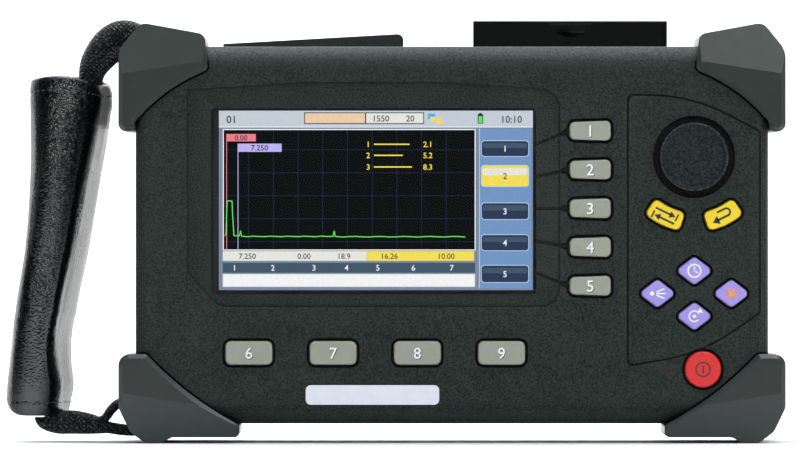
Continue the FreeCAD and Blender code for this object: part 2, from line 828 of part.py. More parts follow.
well = new_sketch(front, "XZ_Plane", x=d.dial_x, y=inner_face_y, z=d.dial_z)
circle(well, d.dial_radius + d.dial_gap + d.dial_well_wall)
well_boss_depth = d.dial_well_depth + d.dial_well_wall - d.wall
pad(front, well, well_boss_depth, backwards=True)
posts = new_sketch(front, "XZ_Plane", y=keypad_board_y)
post_inset = d.keypad_post_radius + d.key_gap
POSTS = [(d.keypad_left + post_inset, d.keypad_top - post_inset),
         (d.keypad_right - post_inset, d.keypad_top - post_inset),
         (d.keypad_right - post_inset, d.keypad_bottom + post_inset),
         (d.keypad_low_left + post_inset, d.keypad_bottom + post_inset),
         (d.keypad_low_left + post_inset, d.keypad_low_top - post_inset)]
for post_x, post_z in POSTS:
    circle(posts, d.keypad_post_radius, post_x, post_z)
pad(front, posts, keypad_board_y - inner_face_y)

recess = new_sketch(front, "XZ_Plane", x=d.screen_x, y=face_y, z=d.screen_z)
recess_x = d.window_width / 2 + d.recess_side
recess_high = d.window_height / 2 + d.recess_above
recess_low = -d.window_height / 2 - d.recess_below
brow_x = recess_x - d.recess_brow_reach
brow_z = recess_high + d.recess_brow_rise
outline(recess, [(-recess_x, recess_low + d.recess_slant_rise, d.recess_corner_round),
                 (-recess_x + d.recess_slant_reach, recess_low, d.recess_corner_round),
                 (recess_x, recess_low, d.recess_corner_round),
                 (recess_x, recess_high, d.recess_corner_round),
                 (brow_x, brow_z, d.recess_brow_round), (-brow_x, brow_z, d.recess_brow_round),
                 (-recess_x, recess_high, d.window_round)])
pocket(front, recess, d.screen_recess_depth)

window = new_sketch(front, "XZ_Plane", x=d.screen_x, y=face_y, z=d.screen_z)
outline(window, rectangle(0.0, 0.0, d.window_width, d.window_height, d.window_round))
pocket(front, window, d.wall * 2)

for shape, turn, keys in KEY_GROUPS:
    for grow, depth in ((d.key_ring, d.key_ring_depth), (d.key_gap, d.wall * 2)):
        first_x, first_z = keys[0][1:]
        opening = new_sketch(front, "XZ_Plane", first_x, face_y, first_z, key_turn(turn))
        for name, key_x, key_z in keys:
            draw(opening, shape(grow), key_x - first_x, key_z - first_z)
        pocket(front, opening, depth)

dial_well = new_sketch(front, "XZ_Plane", x=d.dial_x, y=face_y, z=d.dial_z)
circle(dial_well, d.dial_radius + d.dial_gap)
pocket(front, dial_well, d.dial_well_depth)
shaft_hole = new_sketch(front, "XZ_Plane", x=d.dial_x, y=face_y, z=d.dial_z)
circle(shaft_hole, d.shaft_radius + d.shaft_fit)
pocket(front, shaft_hole, d.dial_well_depth + d.dial_well_wall * 2)

led_hole = new_sketch(front, "XZ_Plane", x=d.led_x, y=face_y, z=d.led_z)
circle(led_hole, d.led_radius + d.led_fit)
pocket(front, led_hole, d.wall * 2)

plate_seat = new_sketch(front, "XZ_Plane", x=d.plate_x, y=face_y, z=d.plate_z)
outline(plate_seat, rectangle(0.0, 0.0, d.plate_width + d.plate_fit * 2, d.plate_height + d.plate_fit * 2,
                              d.plate_round + d.plate_fit))
pocket(front, plate_seat, d.plate_thickness - d.plate_proud)

panel_line = new_sketch(front, "XZ_Plane", y=face_y)
for grow in (d.line_width / 2, -d.line_width / 2):
    foot_z = d.panel_bottom - grow
    shoulder_z = d.panel_top + grow
    outline(panel_line, [(d.panel_left - grow, foot_z, d.panel_corner_round),
                         (d.panel_left + d.panel_foot_reach, foot_z + d.panel_foot_rise, d.panel_bend_round),
                         (d.panel_right + grow, foot_z + d.panel_side_rise, d.panel_corner_round),
                         (d.panel_right + grow, shoulder_z - d.panel_shoulder_drop, d.panel_corner_round),
                         (d.panel_left + d.panel_shoulder_reach, shoulder_z, d.panel_bend_round),
                         (d.panel_left - grow, shoulder_z, d.panel_corner_round)])
pocket(front, panel_line, d.line_depth)

leader_end = d.screen_x + (d.window_width - d.leader_width) / 2
leader_start = d.f_key_x - d.f_key_width / 2 - d.key_ring / 2
leaders = new_sketch(front, "XZ_Plane", y=face_y)
for number in range(5):
    key_z = d.f_key_top_z - d.f_key_pitch * number
    mark_z = d.leader_top_z - d.leader_pitch * number
    neck_z = key_z + (mark_z - key_z) / 4
    neck_x = leader_start - d.leader_neck
    half = d.leader_width / 2
    outline(leaders, [(leader_end, mark_z - half, 0.0), (neck_x, neck_z - half, 0.0),
                      (leader_start, key_z - d.leader_mouth / 2, 0.0),
                      (leader_start, key_z + d.leader_mouth / 2, 0.0),
                      (neck_x, neck_z + half, 0.0), (leader_end, mark_z + half, 0.0)])
pocket(front, leaders, d.screen_recess_depth + d.line_depth)

front_pilots = new_sketch(front, "XZ_Plane", y=parting_y)
for boss_x, boss_z in four_corners():
    circle(front_pilots, d.case_screw_radius + d.case_screw_thread, boss_x, boss_z)
pocket(front, front_pilots, d.case_screw_bite + d.case_screw_clearance, backwards=True)

seam = new_sketch(front, "XZ_Plane", y=parting_y)
case_middle_z = d.case_foot + d.case_height / 2
outline(seam, rectangle(0.0, case_middle_z, d.case_width + d.wall, d.case_height + d.wall))
outline(seam, rectangle(0.0, case_middle_z, d.case_width - d.seam_depth * 2,
                        d.case_height - d.seam_depth * 2, d.case_corner_round - d.seam_depth))
pocket(front, seam, d.seam_width, backwards=True)
bumper_gutters(front, face_y, False)
place(front)
keep(front)

# ---- rear shell -------------------------------------------------------------------------------------

rear = new_body("rear_casing")
casing_form(rear, parting_y, back_y, 0.0, d.rear_edge_round)
rear_depth = d.case_depth - d.front_shell_depth
hollow(rear, parting_y, inner_back_y, d.rear_edge_round - d.wall)

BOARD_POSTS = [(side * (d.main_board_width / 2 - d.board_post_inset),
                d.main_board_z + rise * (d.main_board_height / 2 - d.board_post_inset))
               for side in (-1, 1) for rise in (-1, 1)]
board_posts = new_sketch(rear, "XZ_Plane", y=inner_back_y)
for post_x, post_z in BOARD_POSTS:
    circle(board_posts, d.board_post_radius, post_x, post_z)
pad(rear, board_posts, rear_depth - d.wall)

bay_room = d.battery_gap * 2
door_width = d.battery_width + bay_room + d.door_end_lip * 2
door_height = d.battery_height + bay_room + d.door_lip * 2
door_screw_x = (door_width - d.door_end_lip) / 2
door_screw_z = d.battery_z - d.door_screw_drop
door_bosses = new_sketch(rear, "XZ_Plane", y=inner_back_y)
for side in (-1, 1):
    circle(door_bosses, d.door_boss_radius, d.battery_x + side * door_screw_x, door_screw_z)
pad(rear, door_bosses, d.door_boss_height)
battery_wall = new_sketch(rear, "XZ_Plane", x=d.battery_x, y=inner_back_y, z=d.battery_z)
for grow in (d.battery_wall, Size(0.0)):
    outline(battery_wall, rectangle(0.0, 0.0, d.battery_width + bay_room + grow * 2,
                                    d.battery_height + bay_room + grow * 2, d.battery_bay_round))
pad(rear, battery_wall, d.battery_depth - d.wall + d.door_thickness)
door_seat = new_sketch(rear, "XZ_Plane", x=d.battery_x, y=back_y, z=d.battery_z)
outline(door_seat, rectangle(0.0, 0.0, door_width + d.door_fit * 2, door_height + d.door_fit * 2,
                             d.door_round + d.door_fit))
pocket(rear, door_seat, d.door_thickness, backwards=True)
door_pilots = new_sketch(rear, "XZ_Plane", y=back_y)
for side in (-1, 1):
    circle(door_pilots, d.door_screw_radius, d.battery_x + side * door_screw_x, door_screw_z)
pocket(rear, door_pilots, d.door_screw_length, backwards=True)
battery_hole = new_sketch(rear, "XZ_Plane", x=d.battery_x, y=back_y, z=d.battery_z)
outline(battery_hole, rectangle(0.0, 0.0, d.battery_width + bay_room, d.battery_height + bay_room,
                                d.battery_bay_round))
pocket(rear, battery_hole, d.wall * 2, backwards=True)

bay_middle_y = d.bay_front + d.bay_width / 2
bay_outer_length = d.bay_length + d.bay_wall * 2
bay_outer_width = d.bay_width + d.bay_wall * 2
bay_cut = new_sketch(rear, "XY_Plane", z=case_top)
outline(bay_cut, rectangle(d.bay_x, bay_middle_y, bay_outer_length + d.bay_fit * 2,
                           bay_outer_width + d.bay_fit * 2, d.bay_round))
pocket(rear, bay_cut, d.wall * 2)
socket_cut = new_sketch(rear, "XY_Plane", z=case_top)
for number in (-1, 0, 1):
    outline(socket_cut, rectangle(d.socket_x + d.socket_spread * number, d.socket_y,
                                  d.socket_width + d.socket_fit * 2,
                                  d.socket_depth + d.socket_fit * 2, d.socket_round + d.socket_fit))
pocket(rear, socket_cut, d.wall * 2)

lug_y = back_y + d.stand_gap + d.stand_thickness / 2
lug_x = d.stand_width / 2 + d.key_gap
for side in (-1, 1):
    lug = new_sketch(rear, "YZ_Plane", x=side * (lug_x + d.stand_lug_width / 2))
    reach = lug_y + d.stand_pin_radius + d.stand_lug_cover
    root_y = back_y - d.wall / 2
    lug_foot = d.stand_lug_reach + d.stand_lug_foot
    outline(lug, [(root_y, d.stand_z - lug_foot, 0.0), (back_y, d.stand_z - lug_foot, 0.0),
                  (reach, d.stand_z - d.stand_lug_reach / 2, d.stand_lug_round),
                  (reach, d.stand_z + d.stand_lug_reach / 2, d.stand_lug_round),
                  (back_y, d.stand_z + lug_foot, 0.0), (root_y, d.stand_z + lug_foot, 0.0)])
    pad(rear, lug, d.stand_lug_width, both_ways=True)
stand_bores = new_sketch(rear, "YZ_Plane", y=lug_y, z=d.stand_z)
circle(stand_bores, d.stand_pin_radius + d.press_fit)
pocket(rear, stand_bores, (lug_x + d.stand_lug_width) * 2, both_ways=True)

screw_holes = new_sketch(rear, "XZ_Plane", y=back_y)
for boss_x, boss_z in four_corners():
    circle(screw_holes, d.case_screw_radius + d.case_screw_clearance, boss_x, boss_z)
pocket(rear, screw_holes, rear_depth * 2, backwards=True)
screw_heads = new_sketch(rear, "XZ_Plane", y=back_y)
for boss_x, boss_z in four_corners():
    circle(screw_heads, d.case_screw_head_radius + d.case_screw_clearance, boss_x, boss_z)
pocket(rear, screw_heads, back_y - screw_seat_y, backwards=True)
bumper_gutters(rear, back_y, True)
place(rear)
keep(rear)

for number, (boss_x, boss_z) in enumerate(four_corners(), start=1):
    screw = new_body(f"case_screw_{number}")
    head = new_sketch(screw, "XZ_Plane")
    circle(head, d.case_screw_head_radius)
    pad(screw, head, d.case_screw_head_height)
    hexagon = new_sketch(screw, "XZ_Plane")
    outline(hexagon, [(d.case_screw_key * cosine(60.0 * step), d.case_screw_key * sine(60.0 * step), 0.0)
                      for step in range(6)])
    pocket(screw, hexagon, d.case_screw_key_depth, backwards=True)
    shank = new_sketch(screw, "XZ_Plane", y=-d.case_screw_head_height)
    circle(shank, d.case_screw_radius)
    pad(screw, shank, screw_seat_y - parting_y + d.case_screw_bite)
    place(screw, boss_x, back_y - d.case_screw_sink, boss_z)
    keep(screw)

# ---- corner bumpers -----------------------------------------------------------------------------------

bumper_depth = d.case_depth + d.bumper_proud * 2


def bumper(name, side, points, crease_z, rise, slot):
    """Rubber corner: its outline through the whole depth, bevelled and creased at both faces,
    with the room for the case taken out of it."""
    form = new_body(f"{name}_form")
    face = new_sketch(form, "XZ_Plane")
    outline(face, [(side * x, z, radius) for x, z, radius in points])
    pad(form, face, bumper_depth, both_ways=True)
    half = float(bumper_depth) / 2
    round_edges(form, lambda edge: flat_at("Y", half)(edge) or flat_at("Y", -half)(edge),
                d.bumper_bevel, "Chamfer")
    tilt_drop = d.bumper_facet_reach * sine(d.bumper_facet_tilt) / cosine(d.bumper_facet_tilt)
    edge_z = rise * d.bumper_facet_reach
    for facing in (-1, 1):
        slope = d.bumper_crease_slope * (side * rise)
        turn = (FreeCAD.Vector(math.copysign(1, slope), 0, 0), abs_angle(slope))
        facet = new_sketch(form, "YZ_Plane", x=side * bumper_x, z=crease_z, turn=turn)
        outer = facing * (bumper_depth / 2)
        beyond = outer + facing * d.bumper_proud
        outline(facet, [(outer, 0.0, 0.0), (beyond, 0.0, 0.0), (beyond, edge_z, 0.0),
                        (outer - facing * tilt_drop, edge_z, 0.0)])
        pocket(form, facet, case_side * 2, both_ways=True)
    if slot:
        bar_x, bar_z = slot
        room = new_sketch(form, "XZ_Plane", x=bar_x, z=bar_z)
        circle(room, d.strap_slot_radius)
        pocket(form, room, d.strap_slot_width, both_ways=True)
        bore = new_sketch(form, "XZ_Plane", x=bar_x, z=bar_z)
        circle(bore, d.strap_bar_radius + d.press_fit * 2)
        pocket(form, bore, strap_bar_length + d.strap_bar_radius, both_ways=True)
    room = new_body(f"{name}_room")
    casing_form(room, face_y - d.bumper_fit, back_y + d.bumper_fit,
                d.front_edge_round + d.bumper_fit, d.rear_edge_round + d.bumper_fit, d.bumper_fit)
    cut = doc.addObject("Part::Cut", name)
    cut.Label = name
    cut.Base = form
    cut.Tool = room
    place(cut)
    doc.recompute()
    return keep(cut)


strap_bar_length = d.strap_slot_width + d.strap_bar_radius * 4
bar_reach = (d.case_corner_round + d.strap_bar_lift) * cosine(45.0)
bar_x = -(case_side - d.case_corner_round + bar_reach)
bar_high_z = case_top - d.case_corner_round + bar_reach
bar_low_z = d.case_foot + d.case_corner_round - bar_reach
upper_crease = case_top - d.upper_crease_drop
lower_crease = d.case_foot + d.lower_crease_rise
bumper("bumper_top_left", -1, UPPER_BUMPER, upper_crease, 1, (bar_x, bar_high_z))
bumper("bumper_top_right", 1, UPPER_BUMPER, upper_crease, 1, None)
bumper("bumper_bottom_left", -1, LOWER_BUMPER, lower_crease, -1, (bar_x, bar_low_z))
bumper("bumper_bottom_right", 1, LOWER_BUMPER, lower_crease, -1, None)

# ---- display ------------------------------------------------------------------------------------------

lens = new_body("lcd_lens")
glass = new_sketch(lens, "XZ_Plane")
lens_width, lens_height = d.window_width + d.lens_lip * 2, d.window_height + d.lens_lip * 2
outline(glass, rectangle(0.0, 0.0, lens_width, lens_height, d.window_round))
pad(lens, glass, d.lens_thickness, backwards=True)
place(lens, d.screen_x, inner_face_y + d.lens_gap, d.screen_z)
keep(lens)

lcd = new_body("lcd_module")
panel = new_sketch(lcd, "XZ_Plane")
outline(panel, rectangle(0.0, 0.0, d.window_width + d.lcd_border * 2,
                         d.window_height + d.lcd_border * 2, d.lcd_round))
pad(lcd, panel, d.lcd_thickness, backwards=True)
place(lcd, d.screen_x, inner_face_y + d.lens_gap + d.lens_thickness, d.screen_z)
keep(lcd)

# ---- keys ---------------------------------------------------------------------------------------------

cap_height = d.key_proud + d.wall + d.key_flange_gap
for shape, turn, keys in KEY_GROUPS:
    for name, key_x, key_z in keys:
        key = new_body(name)
        cap = new_sketch(key, "XZ_Plane", y=-d.key_proud, turn=key_turn(turn))
        draw(cap, shape(0.0))
        pad(key, cap, cap_height, backwards=True)
        round_edges(key, flat_at("Y", -float(d.key_proud)), d.key_edge_round)
        skirt = new_sketch(key, "XZ_Plane", y=cap_height - d.key_proud, turn=key_turn(turn))
        draw(skirt, shape(d.key_flange))
        pad(key, skirt, d.key_flange_thickness, backwards=True)
        place(key, key_x, face_y, key_z)
        keep(key)

# ---- jog dial and its encoder -------------------------------------------------------------------------

well_floor_y = face_y + d.dial_well_depth
dial_back_y = well_floor_y - d.dial_lift
dial = new_body("dial_knob")
dish_y = -d.dial_height + d.dial_dish
dial_section = new_sketch(dial, "XY_Plane")
outline(dial_section, [(0.0, 0.0, 0.0), (d.dial_radius, 0.0, 0.0),
                       (d.dial_radius, -d.dial_height, d.dial_edge_round),
                       (d.dial_radius - d.dial_rim, -d.dial_height, d.dial_dish / 2),
                       (d.dial_radius - d.dial_rim - d.dial_dish, dish_y, d.dial_dish / 2),
                       (0.0, dish_y, 0.0)])
turned = dial.newObject("PartDesign::Revolution", "dial_turned")
turned.Profile = dial_section
turned.ReferenceAxis = (dial_section, ["V_Axis"])
turned.Angle = 360.0
doc.recompute()
grip = new_sketch(dial, "XZ_Plane")
circle(grip, d.dial_notch_radius, d.dial_radius + d.dial_notch_radius / 5, 0.0)
notch = pocket(dial, grip, d.dial_height * 2, both_ways=True)
grips = dial.newObject("PartDesign::PolarPattern", "dial_grips")
grips.Originals = [notch]
grips.Axis = (dial_section, ["V_Axis"])
grips.Angle = 360.0
bind(grips, "Occurrences", d.dial_notches)
dial.Tip = grips
doc.recompute()
shaft_seat = new_sketch(dial, "XZ_Plane")
circle(shaft_seat, d.shaft_radius + d.press_fit)
pocket(dial, shaft_seat, d.shaft_grip, backwards=True)
place(dial, d.dial_x, dial_back_y, d.dial_z)
keep(dial)

rotor_y = encoder_y + d.encoder_cover + d.rotor_gap
shaft = new_body("encoder_shaft")
rod = new_sketch(shaft, "XZ_Plane")
circle(rod, d.shaft_radius)
shaft_length = rotor_y - dial_back_y + d.shaft_grip
pad(shaft, rod, shaft_length, backwards=True)
tail = new_sketch(shaft, "XZ_Plane", y=shaft_length)
circle(tail, d.shaft_tail_radius)
pad(shaft, tail, d.shaft_tail_length, backwards=True)
place(shaft, d.dial_x, dial_back_y - d.shaft_grip, d.dial_z)
keep(shaft)

rotor = new_body("encoder_rotor")
ring = new_sketch(rotor, "XZ_Plane")
circle(ring, d.rotor_radius)
circle(ring, d.shaft_tail_radius + d.press_fit)
pad(rotor, ring, d.rotor_height, backwards=True)
place(rotor, d.dial_x, rotor_y, d.dial_z)
keep(rotor)

encoder = new_body("encoder_body")
encoder_face = new_sketch(encoder, "XZ_Plane")
outline(encoder_face, rectangle(0.0, 0.0, d.encoder_size, d.encoder_size, d.encoder_round))
pad(encoder, encoder_face, d.encoder_depth, backwards=True)
neck = new_sketch(encoder, "XZ_Plane")
circle(neck, d.shaft_radius + d.shaft_fit)
pocket(encoder, neck, d.encoder_cover * 2)
chamber = new_sketch(encoder, "XZ_Plane", y=d.encoder_cover)
circle(chamber, d.rotor_radius + d.shaft_fit)
pocket(encoder, chamber, d.encoder_depth - d.encoder_cover * 2)
place(encoder, d.dial_x, encoder_y, d.dial_z)
keep(encoder)

# ---- keypad, charge light, name plate -----------------------------------------------------------------


def keypad_outline(inset=0.0):
    return [(d.keypad_low_left + inset, d.keypad_bottom + inset, d.keypad_round),
            (d.keypad_right - inset, d.keypad_bottom + inset, d.keypad_round),
            (d.keypad_right - inset, d.keypad_top - inset, d.keypad_round),
            (d.keypad_left + inset, d.keypad_top - inset, d.keypad_round),
            (d.keypad_left + inset, d.keypad_low_top - inset, d.keypad_round),
            (d.keypad_low_left + inset, d.keypad_low_top - inset, d.keypad_round)]


membrane = new_body("keypad_membrane")
sheet_face = new_sketch(membrane, "XZ_Plane")
outline(sheet_face, keypad_outline(d.membrane_margin))
circle(sheet_face, d.dial_radius + d.dial_gap + d.dial_well_wall + d.keypad_clearance,
       d.dial_x, d.dial_z)
circle(sheet_face, d.led_radius + d.led_fit, d.led_x, d.led_z)
pad(membrane, sheet_face, d.membrane_thickness, backwards=True)
place(membrane, 0.0, membrane_y, 0.0)
keep(membrane)

board = new_body("keypad_board")
board_face = new_sketch(board, "XZ_Plane")
outline(board_face, keypad_outline())
circle(board_face, d.shaft_radius + d.shaft_clearance, d.dial_x, d.dial_z)
pad(board, board_face, d.keypad_board_thickness, backwards=True)
place(board, 0.0, keypad_board_y, 0.0)
keep(board)

led = new_body("status_led")
lamp = new_sketch(led, "XZ_Plane")
circle(lamp, d.led_radius)
pad(led, lamp, keypad_board_y - face_y - d.led_sink)
place(led, d.led_x, keypad_board_y, d.led_z)
keep(led)

name_plate = new_body("name_plate")
blank = new_sketch(name_plate, "XZ_Plane")
outline(blank, rectangle(0.0, 0.0, d.plate_width, d.plate_height, d.plate_round))
pad(name_plate, blank, d.plate_thickness, backwards=True)
place(name_plate, d.plate_x, face_y - d.plate_proud, d.plate_z)
keep(name_plate)

# ---- main board and optical module ---------------------------------------------------------------------

main_board = new_body("main_board")
main_face = new_sketch(main_board, "XZ_Plane")
outline(main_face, rectangle(0.0, d.main_board_z, d.main_board_width, d.main_board_height,
                             d.board_round))
pad(main_board, main_face, d.main_board_thickness)
place(main_board, 0.0, parting_y, 0.0)
keep(main_board)

optics = new_body("optical_module")
case_view = new_sketch(optics, "XZ_Plane")
outline(case_view, rectangle(0.0, 0.0, d.optics_width, d.optics_height, d.optics_round))
pad(optics, case_view, d.optics_depth, backwards=True)
place(optics, d.optics_x, parting_y, d.optics_z)
keep(optics)

# ---- battery and its door ------------------------------------------------------------------------------

battery = new_body("battery_pack")
battery_view = new_sketch(battery, "XZ_Plane")
outline(battery_view, rectangle(0.0, 0.0, d.battery_width, d.battery_height, d.battery_round))
pad(battery, battery_view, d.battery_depth)
place(battery, d.battery_x, back_y - d.door_thickness - d.battery_gap, d.battery_z)
keep(battery)

door = new_body("battery_door")
door_face = new_sketch(door, "XZ_Plane")
outline(door_face, rectangle(0.0, 0.0, door_width, door_height, d.door_round))
pad(door, door_face, d.door_thickness)
door_holes = new_sketch(door, "XZ_Plane")
for side in (-1, 1):
    circle(door_holes, d.door_screw_radius + d.door_fit, side * door_screw_x, -d.door_screw_drop)
pocket(door, door_holes, d.door_thickness * 2, backwards=True)
door_sinks = new_sketch(door, "XZ_Plane")
for side in (-1, 1):
    circle(door_sinks, d.door_screw_head_radius + d.door_fit, side * door_screw_x, -d.door_screw_drop)
pocket(door, door_sinks, d.door_screw_head_height, backwards=True)
place(door, d.battery_x, back_y, d.battery_z)
keep(door)

for side, name in ((-1, "door_screw_left"), (1, "door_screw_right")):
    door_screw = new_body(name)
    screw_head = new_sketch(door_screw, "XZ_Plane")
    circle(screw_head, d.door_screw_head_radius)
    pad(door_screw, screw_head, d.door_screw_head_height)
    slot = new_sketch(door_screw, "XZ_Plane")
    outline(slot, rectangle(0.0, 0.0, d.door_screw_head_radius * 3, d.door_screw_radius / 2))
    pocket(door_screw, slot, d.door_screw_head_height / 2, backwards=True)
    thread = new_sketch(door_screw, "XZ_Plane", y=-d.door_screw_head_height)
    circle(thread, d.door_screw_radius - d.press_fit)
    pad(door_screw, thread, d.door_screw_length - d.door_screw_head_height)
    place(door_screw, d.battery_x + side * door_screw_x, back_y, door_screw_z)
    keep(door_screw)

# ---- port bay, its ports and its lid --------------------------------------------------------------------

hinge_z = case_top - d.lid_outer
hinge_y = d.bay_front + d.bay_width - d.lid_gap - d.lid_outer
bay = new_body("port_bay")
bay_box = new_sketch(bay, "XY_Plane", z=case_top - d.bay_depth - d.bay_wall)
outline(bay_box, rectangle(d.bay_x, bay_middle_y, bay_outer_length, bay_outer_width, d.bay_round))
pad(bay, bay_box, d.bay_depth + d.bay_wall)
bay_room_cut = new_sketch(bay, "XY_Plane", z=case_top)
outline(bay_room_cut, rectangle(d.bay_x, bay_middle_y, d.bay_length, d.bay_width, d.bay_inner_round))
pocket(bay, bay_room_cut, d.bay_depth)
pin_bore = new_sketch(bay, "YZ_Plane", x=d.bay_x, y=hinge_y, z=hinge_z)
circle(pin_bore, d.lid_pin_radius + d.press_fit)
pocket(bay, pin_bore, bay_outer_length * 2, both_ways=True)
place(bay)
keep(bay)

pin = new_body("lid_hinge_pin")
pin_end = new_sketch(pin, "YZ_Plane")
circle(pin_end, d.lid_pin_radius)
pad(pin, pin_end, bay_outer_length - d.lid_pin_sink * 2, both_ways=True)
place(pin, d.bay_x, hinge_y, hinge_z)
keep(pin)

lid_length = d.bay_length - d.lid_gap * 2
lid = new_body("port_lid")
lid_side = new_sketch(lid, "YZ_Plane")
outline(lid_side, [(-d.lid_rim, -d.lid_outer, d.lid_rim * 0.99),
                   (d.lid_outer, -d.lid_outer, d.lid_outer * 0.99),
                   (d.lid_outer, d.lid_height, d.lid_corner_round),
                   (-d.lid_rim, d.lid_height, d.lid_rim_round)])
pad(lid, lid_side, lid_length, both_ways=True)
lid_bore = new_sketch(lid, "YZ_Plane")
circle(lid_bore, d.lid_pin_radius + d.lid_pin_fit)
pocket(lid, lid_bore, lid_length * 2, both_ways=True)
tray = new_sketch(lid, "XZ_Plane", y=-d.lid_rim)
tray_low = d.lid_pin_radius + d.lid_pin_fit + d.lid_wall
tray_x = lid_length / 2 - d.lid_wall
outline(tray, [(-tray_x, tray_low, d.lid_tray_foot_round), (tray_x, tray_low, d.lid_tray_foot_round),
               (tray_x, d.lid_height - d.lid_wall, d.lid_tray_round),
               (-tray_x, d.lid_height - d.lid_wall, d.lid_tray_round)])
pocket(lid, tray, d.lid_rim + d.lid_outer - d.lid_skin)
scoop_span = d.lid_scoop_depth * (d.lid_scoop_curve * 2 - d.lid_scoop_depth)
scoop_radius = Size(math.sqrt(scoop_span), f"sqrt({scoop_span.formula})")
scoop_z = d.lid_height - d.lid_scoop_height + scoop_radius
scoop_floor = d.lid_outer - d.lid_scoop_depth
scoop_back = scoop_floor - d.lid_skin
for kind, low, top in (("Revolution", scoop_back, scoop_back + d.lid_scoop_depth + d.lid_skin / 3),
                       ("Groove", scoop_floor, d.lid_outer + d.lid_skin / 3)):
    bowl = new_sketch(lid, "XY_Plane", z=scoop_z)
    bowl_section(bowl, d.lid_scoop_curve, low, top)
    scoop = lid.newObject(f"PartDesign::{kind}", f"lid_scoop_{kind.lower()}")
    scoop.Profile = bowl
    scoop.ReferenceAxis = (bowl, ["V_Axis"])
    scoop.Angle = 360.0
    bowl.Visibility = False
    doc.recompute()
above_lid = new_sketch(lid, "YZ_Plane")
outline(above_lid, rectangle(0.0, d.lid_height + scoop_radius, scoop_radius * 2, scoop_radius * 2))
pocket(lid, above_lid, lid_length, both_ways=True)
place(lid, d.bay_x, hinge_y, hinge_z)
keep(lid)

floor_z = case_top - d.bay_depth
port_y = (d.bay_front + hinge_y - d.lid_rim) / 2
fc = new_body("otdr_port")
flange = new_sketch(fc, "XY_Plane")
outline(flange, rectangle(0.0, 0.0, d.adapter_flange, d.adapter_flange, d.adapter_flange_round))
pad(fc, flange, d.adapter_flange_thickness)
barrel = new_sketch(fc, "XY_Plane")
circle(barrel, d.adapter_barrel_radius)
pad(fc, barrel, d.adapter_barrel_height)
ferrule_bore = new_sketch(fc, "XY_Plane", z=d.adapter_barrel_height)
circle(ferrule_bore, d.adapter_bore_radius)
pocket(fc, ferrule_bore, d.adapter_barrel_height - d.adapter_bore_floor)
place(fc, d.bay_x - d.bay_port_spread, port_y, floor_z)
keep(fc)

vfl = new_body("fault_locator_port")
vfl_flange = new_sketch(vfl, "XY_Plane")
outline(vfl_flange, rectangle(0.0, 0.0, d.adapter_flange, d.adapter_flange, d.adapter_flange_round))
pad(vfl, vfl_flange, d.adapter_flange_thickness)
vfl_barrel = new_sketch(vfl, "XY_Plane")
circle(vfl_barrel, d.vfl_radius)
pad(vfl, vfl_barrel, d.adapter_barrel_height)
vfl_bore = new_sketch(vfl, "XY_Plane", z=d.adapter_barrel_height)
circle(vfl_bore, d.adapter_bore_radius)
pocket(vfl, vfl_bore, d.adapter_barrel_height - d.adapter_bore_floor)
place(vfl, d.bay_x + d.bay_port_spread, port_y, floor_z)
keep(vfl)

# ---- sockets under the rubber cover ---------------------------------------------------------------------

for number, name in ((-1, "power_jack"), (0, "network_socket"), (1, "usb_socket")):
    block = new_body(name)
    body_view = new_sketch(block, "XY_Plane")
    outline(body_view, rectangle(0.0, 0.0, d.socket_width, d.socket_depth, d.socket_round))
    pad(block, body_view, d.socket_height, backwards=True)
    mouth = new_sketch(block, "XY_Plane")
    if name == "power_jack":
        circle(mouth, d.jack_hole_radius)
        circle(mouth, d.jack_pin_radius)
    else:
        outline(mouth, rectangle(0.0, 0.0, d.socket_hole_width, d.socket_hole_depth, d.socket_hole_round))
    pocket(block, mouth, d.socket_hole_height)
    place(block, d.socket_x + d.socket_spread * number, d.socket_y, case_top)
    keep(block)

flap = new_body("rubber_flap")
flap_side = new_sketch(flap, "XZ_Plane")
outline(flap_side, [(Size(0.0), Size(0.0), d.flap_edge_round),
                    (d.flap_length, Size(0.0), d.flap_foot_round),
                    (d.flap_length, d.flap_thick, d.flap_end_round),
                    (Size(0.0), d.flap_thin, d.flap_edge_round)])
pad(flap, flap_side, d.flap_width, backwards=True)
place(flap, d.flap_left, d.flap_front, case_top + d.flap_rise)
keep(flap)

# ---- fold-out stand -------------------------------------------------------------------------------------

stand = new_body("fold_out_stand")
frame_view = new_sketch(stand, "XZ_Plane")
stand_x, stand_top = d.stand_width / 2, d.stand_thickness / 2
gap_x, gap_low = stand_x - d.stand_arm, d.stand_arm - d.stand_height
outline(frame_view, [(-stand_x, -d.stand_height, d.stand_corner_round),
                     (stand_x, -d.stand_height, d.stand_corner_round),
                     (stand_x, stand_top, 0.0), (gap_x, stand_top, 0.0),
                     (gap_x, gap_low, d.stand_inner_round), (-gap_x, gap_low, d.stand_inner_round),
                     (-gap_x, stand_top, 0.0), (-stand_x, stand_top, 0.0)])
pad(stand, frame_view, d.stand_thickness, both_ways=True)
round_edges(stand, lambda edge: edge.BoundBox.XLength > float(d.stand_arm) / 2
            and flat_at("Z", float(stand_top))(edge), d.stand_edge_round)
stand_bore = new_sketch(stand, "YZ_Plane")
circle(stand_bore, d.stand_pin_radius + d.stand_pin_fit)
pocket(stand, stand_bore, d.stand_width * 2, both_ways=True)
place(stand, 0.0, lug_y, d.stand_z)
keep(stand)

for side, name in ((-1, "stand_pin_left"), (1, "stand_pin_right")):
    stand_pin = new_body(name)
    pin_round = new_sketch(stand_pin, "YZ_Plane")
    circle(pin_round, d.stand_pin_radius)
    pin_length = d.stand_lug_width + d.key_gap + d.stand_arm
    pad(stand_pin, pin_round, pin_length, both_ways=True)
    place(stand_pin, side * (lug_x + d.stand_lug_width - pin_length / 2), lug_y, d.stand_z)
    keep(stand_pin)

# ---- hand strap -----------------------------------------------------------------------------------------

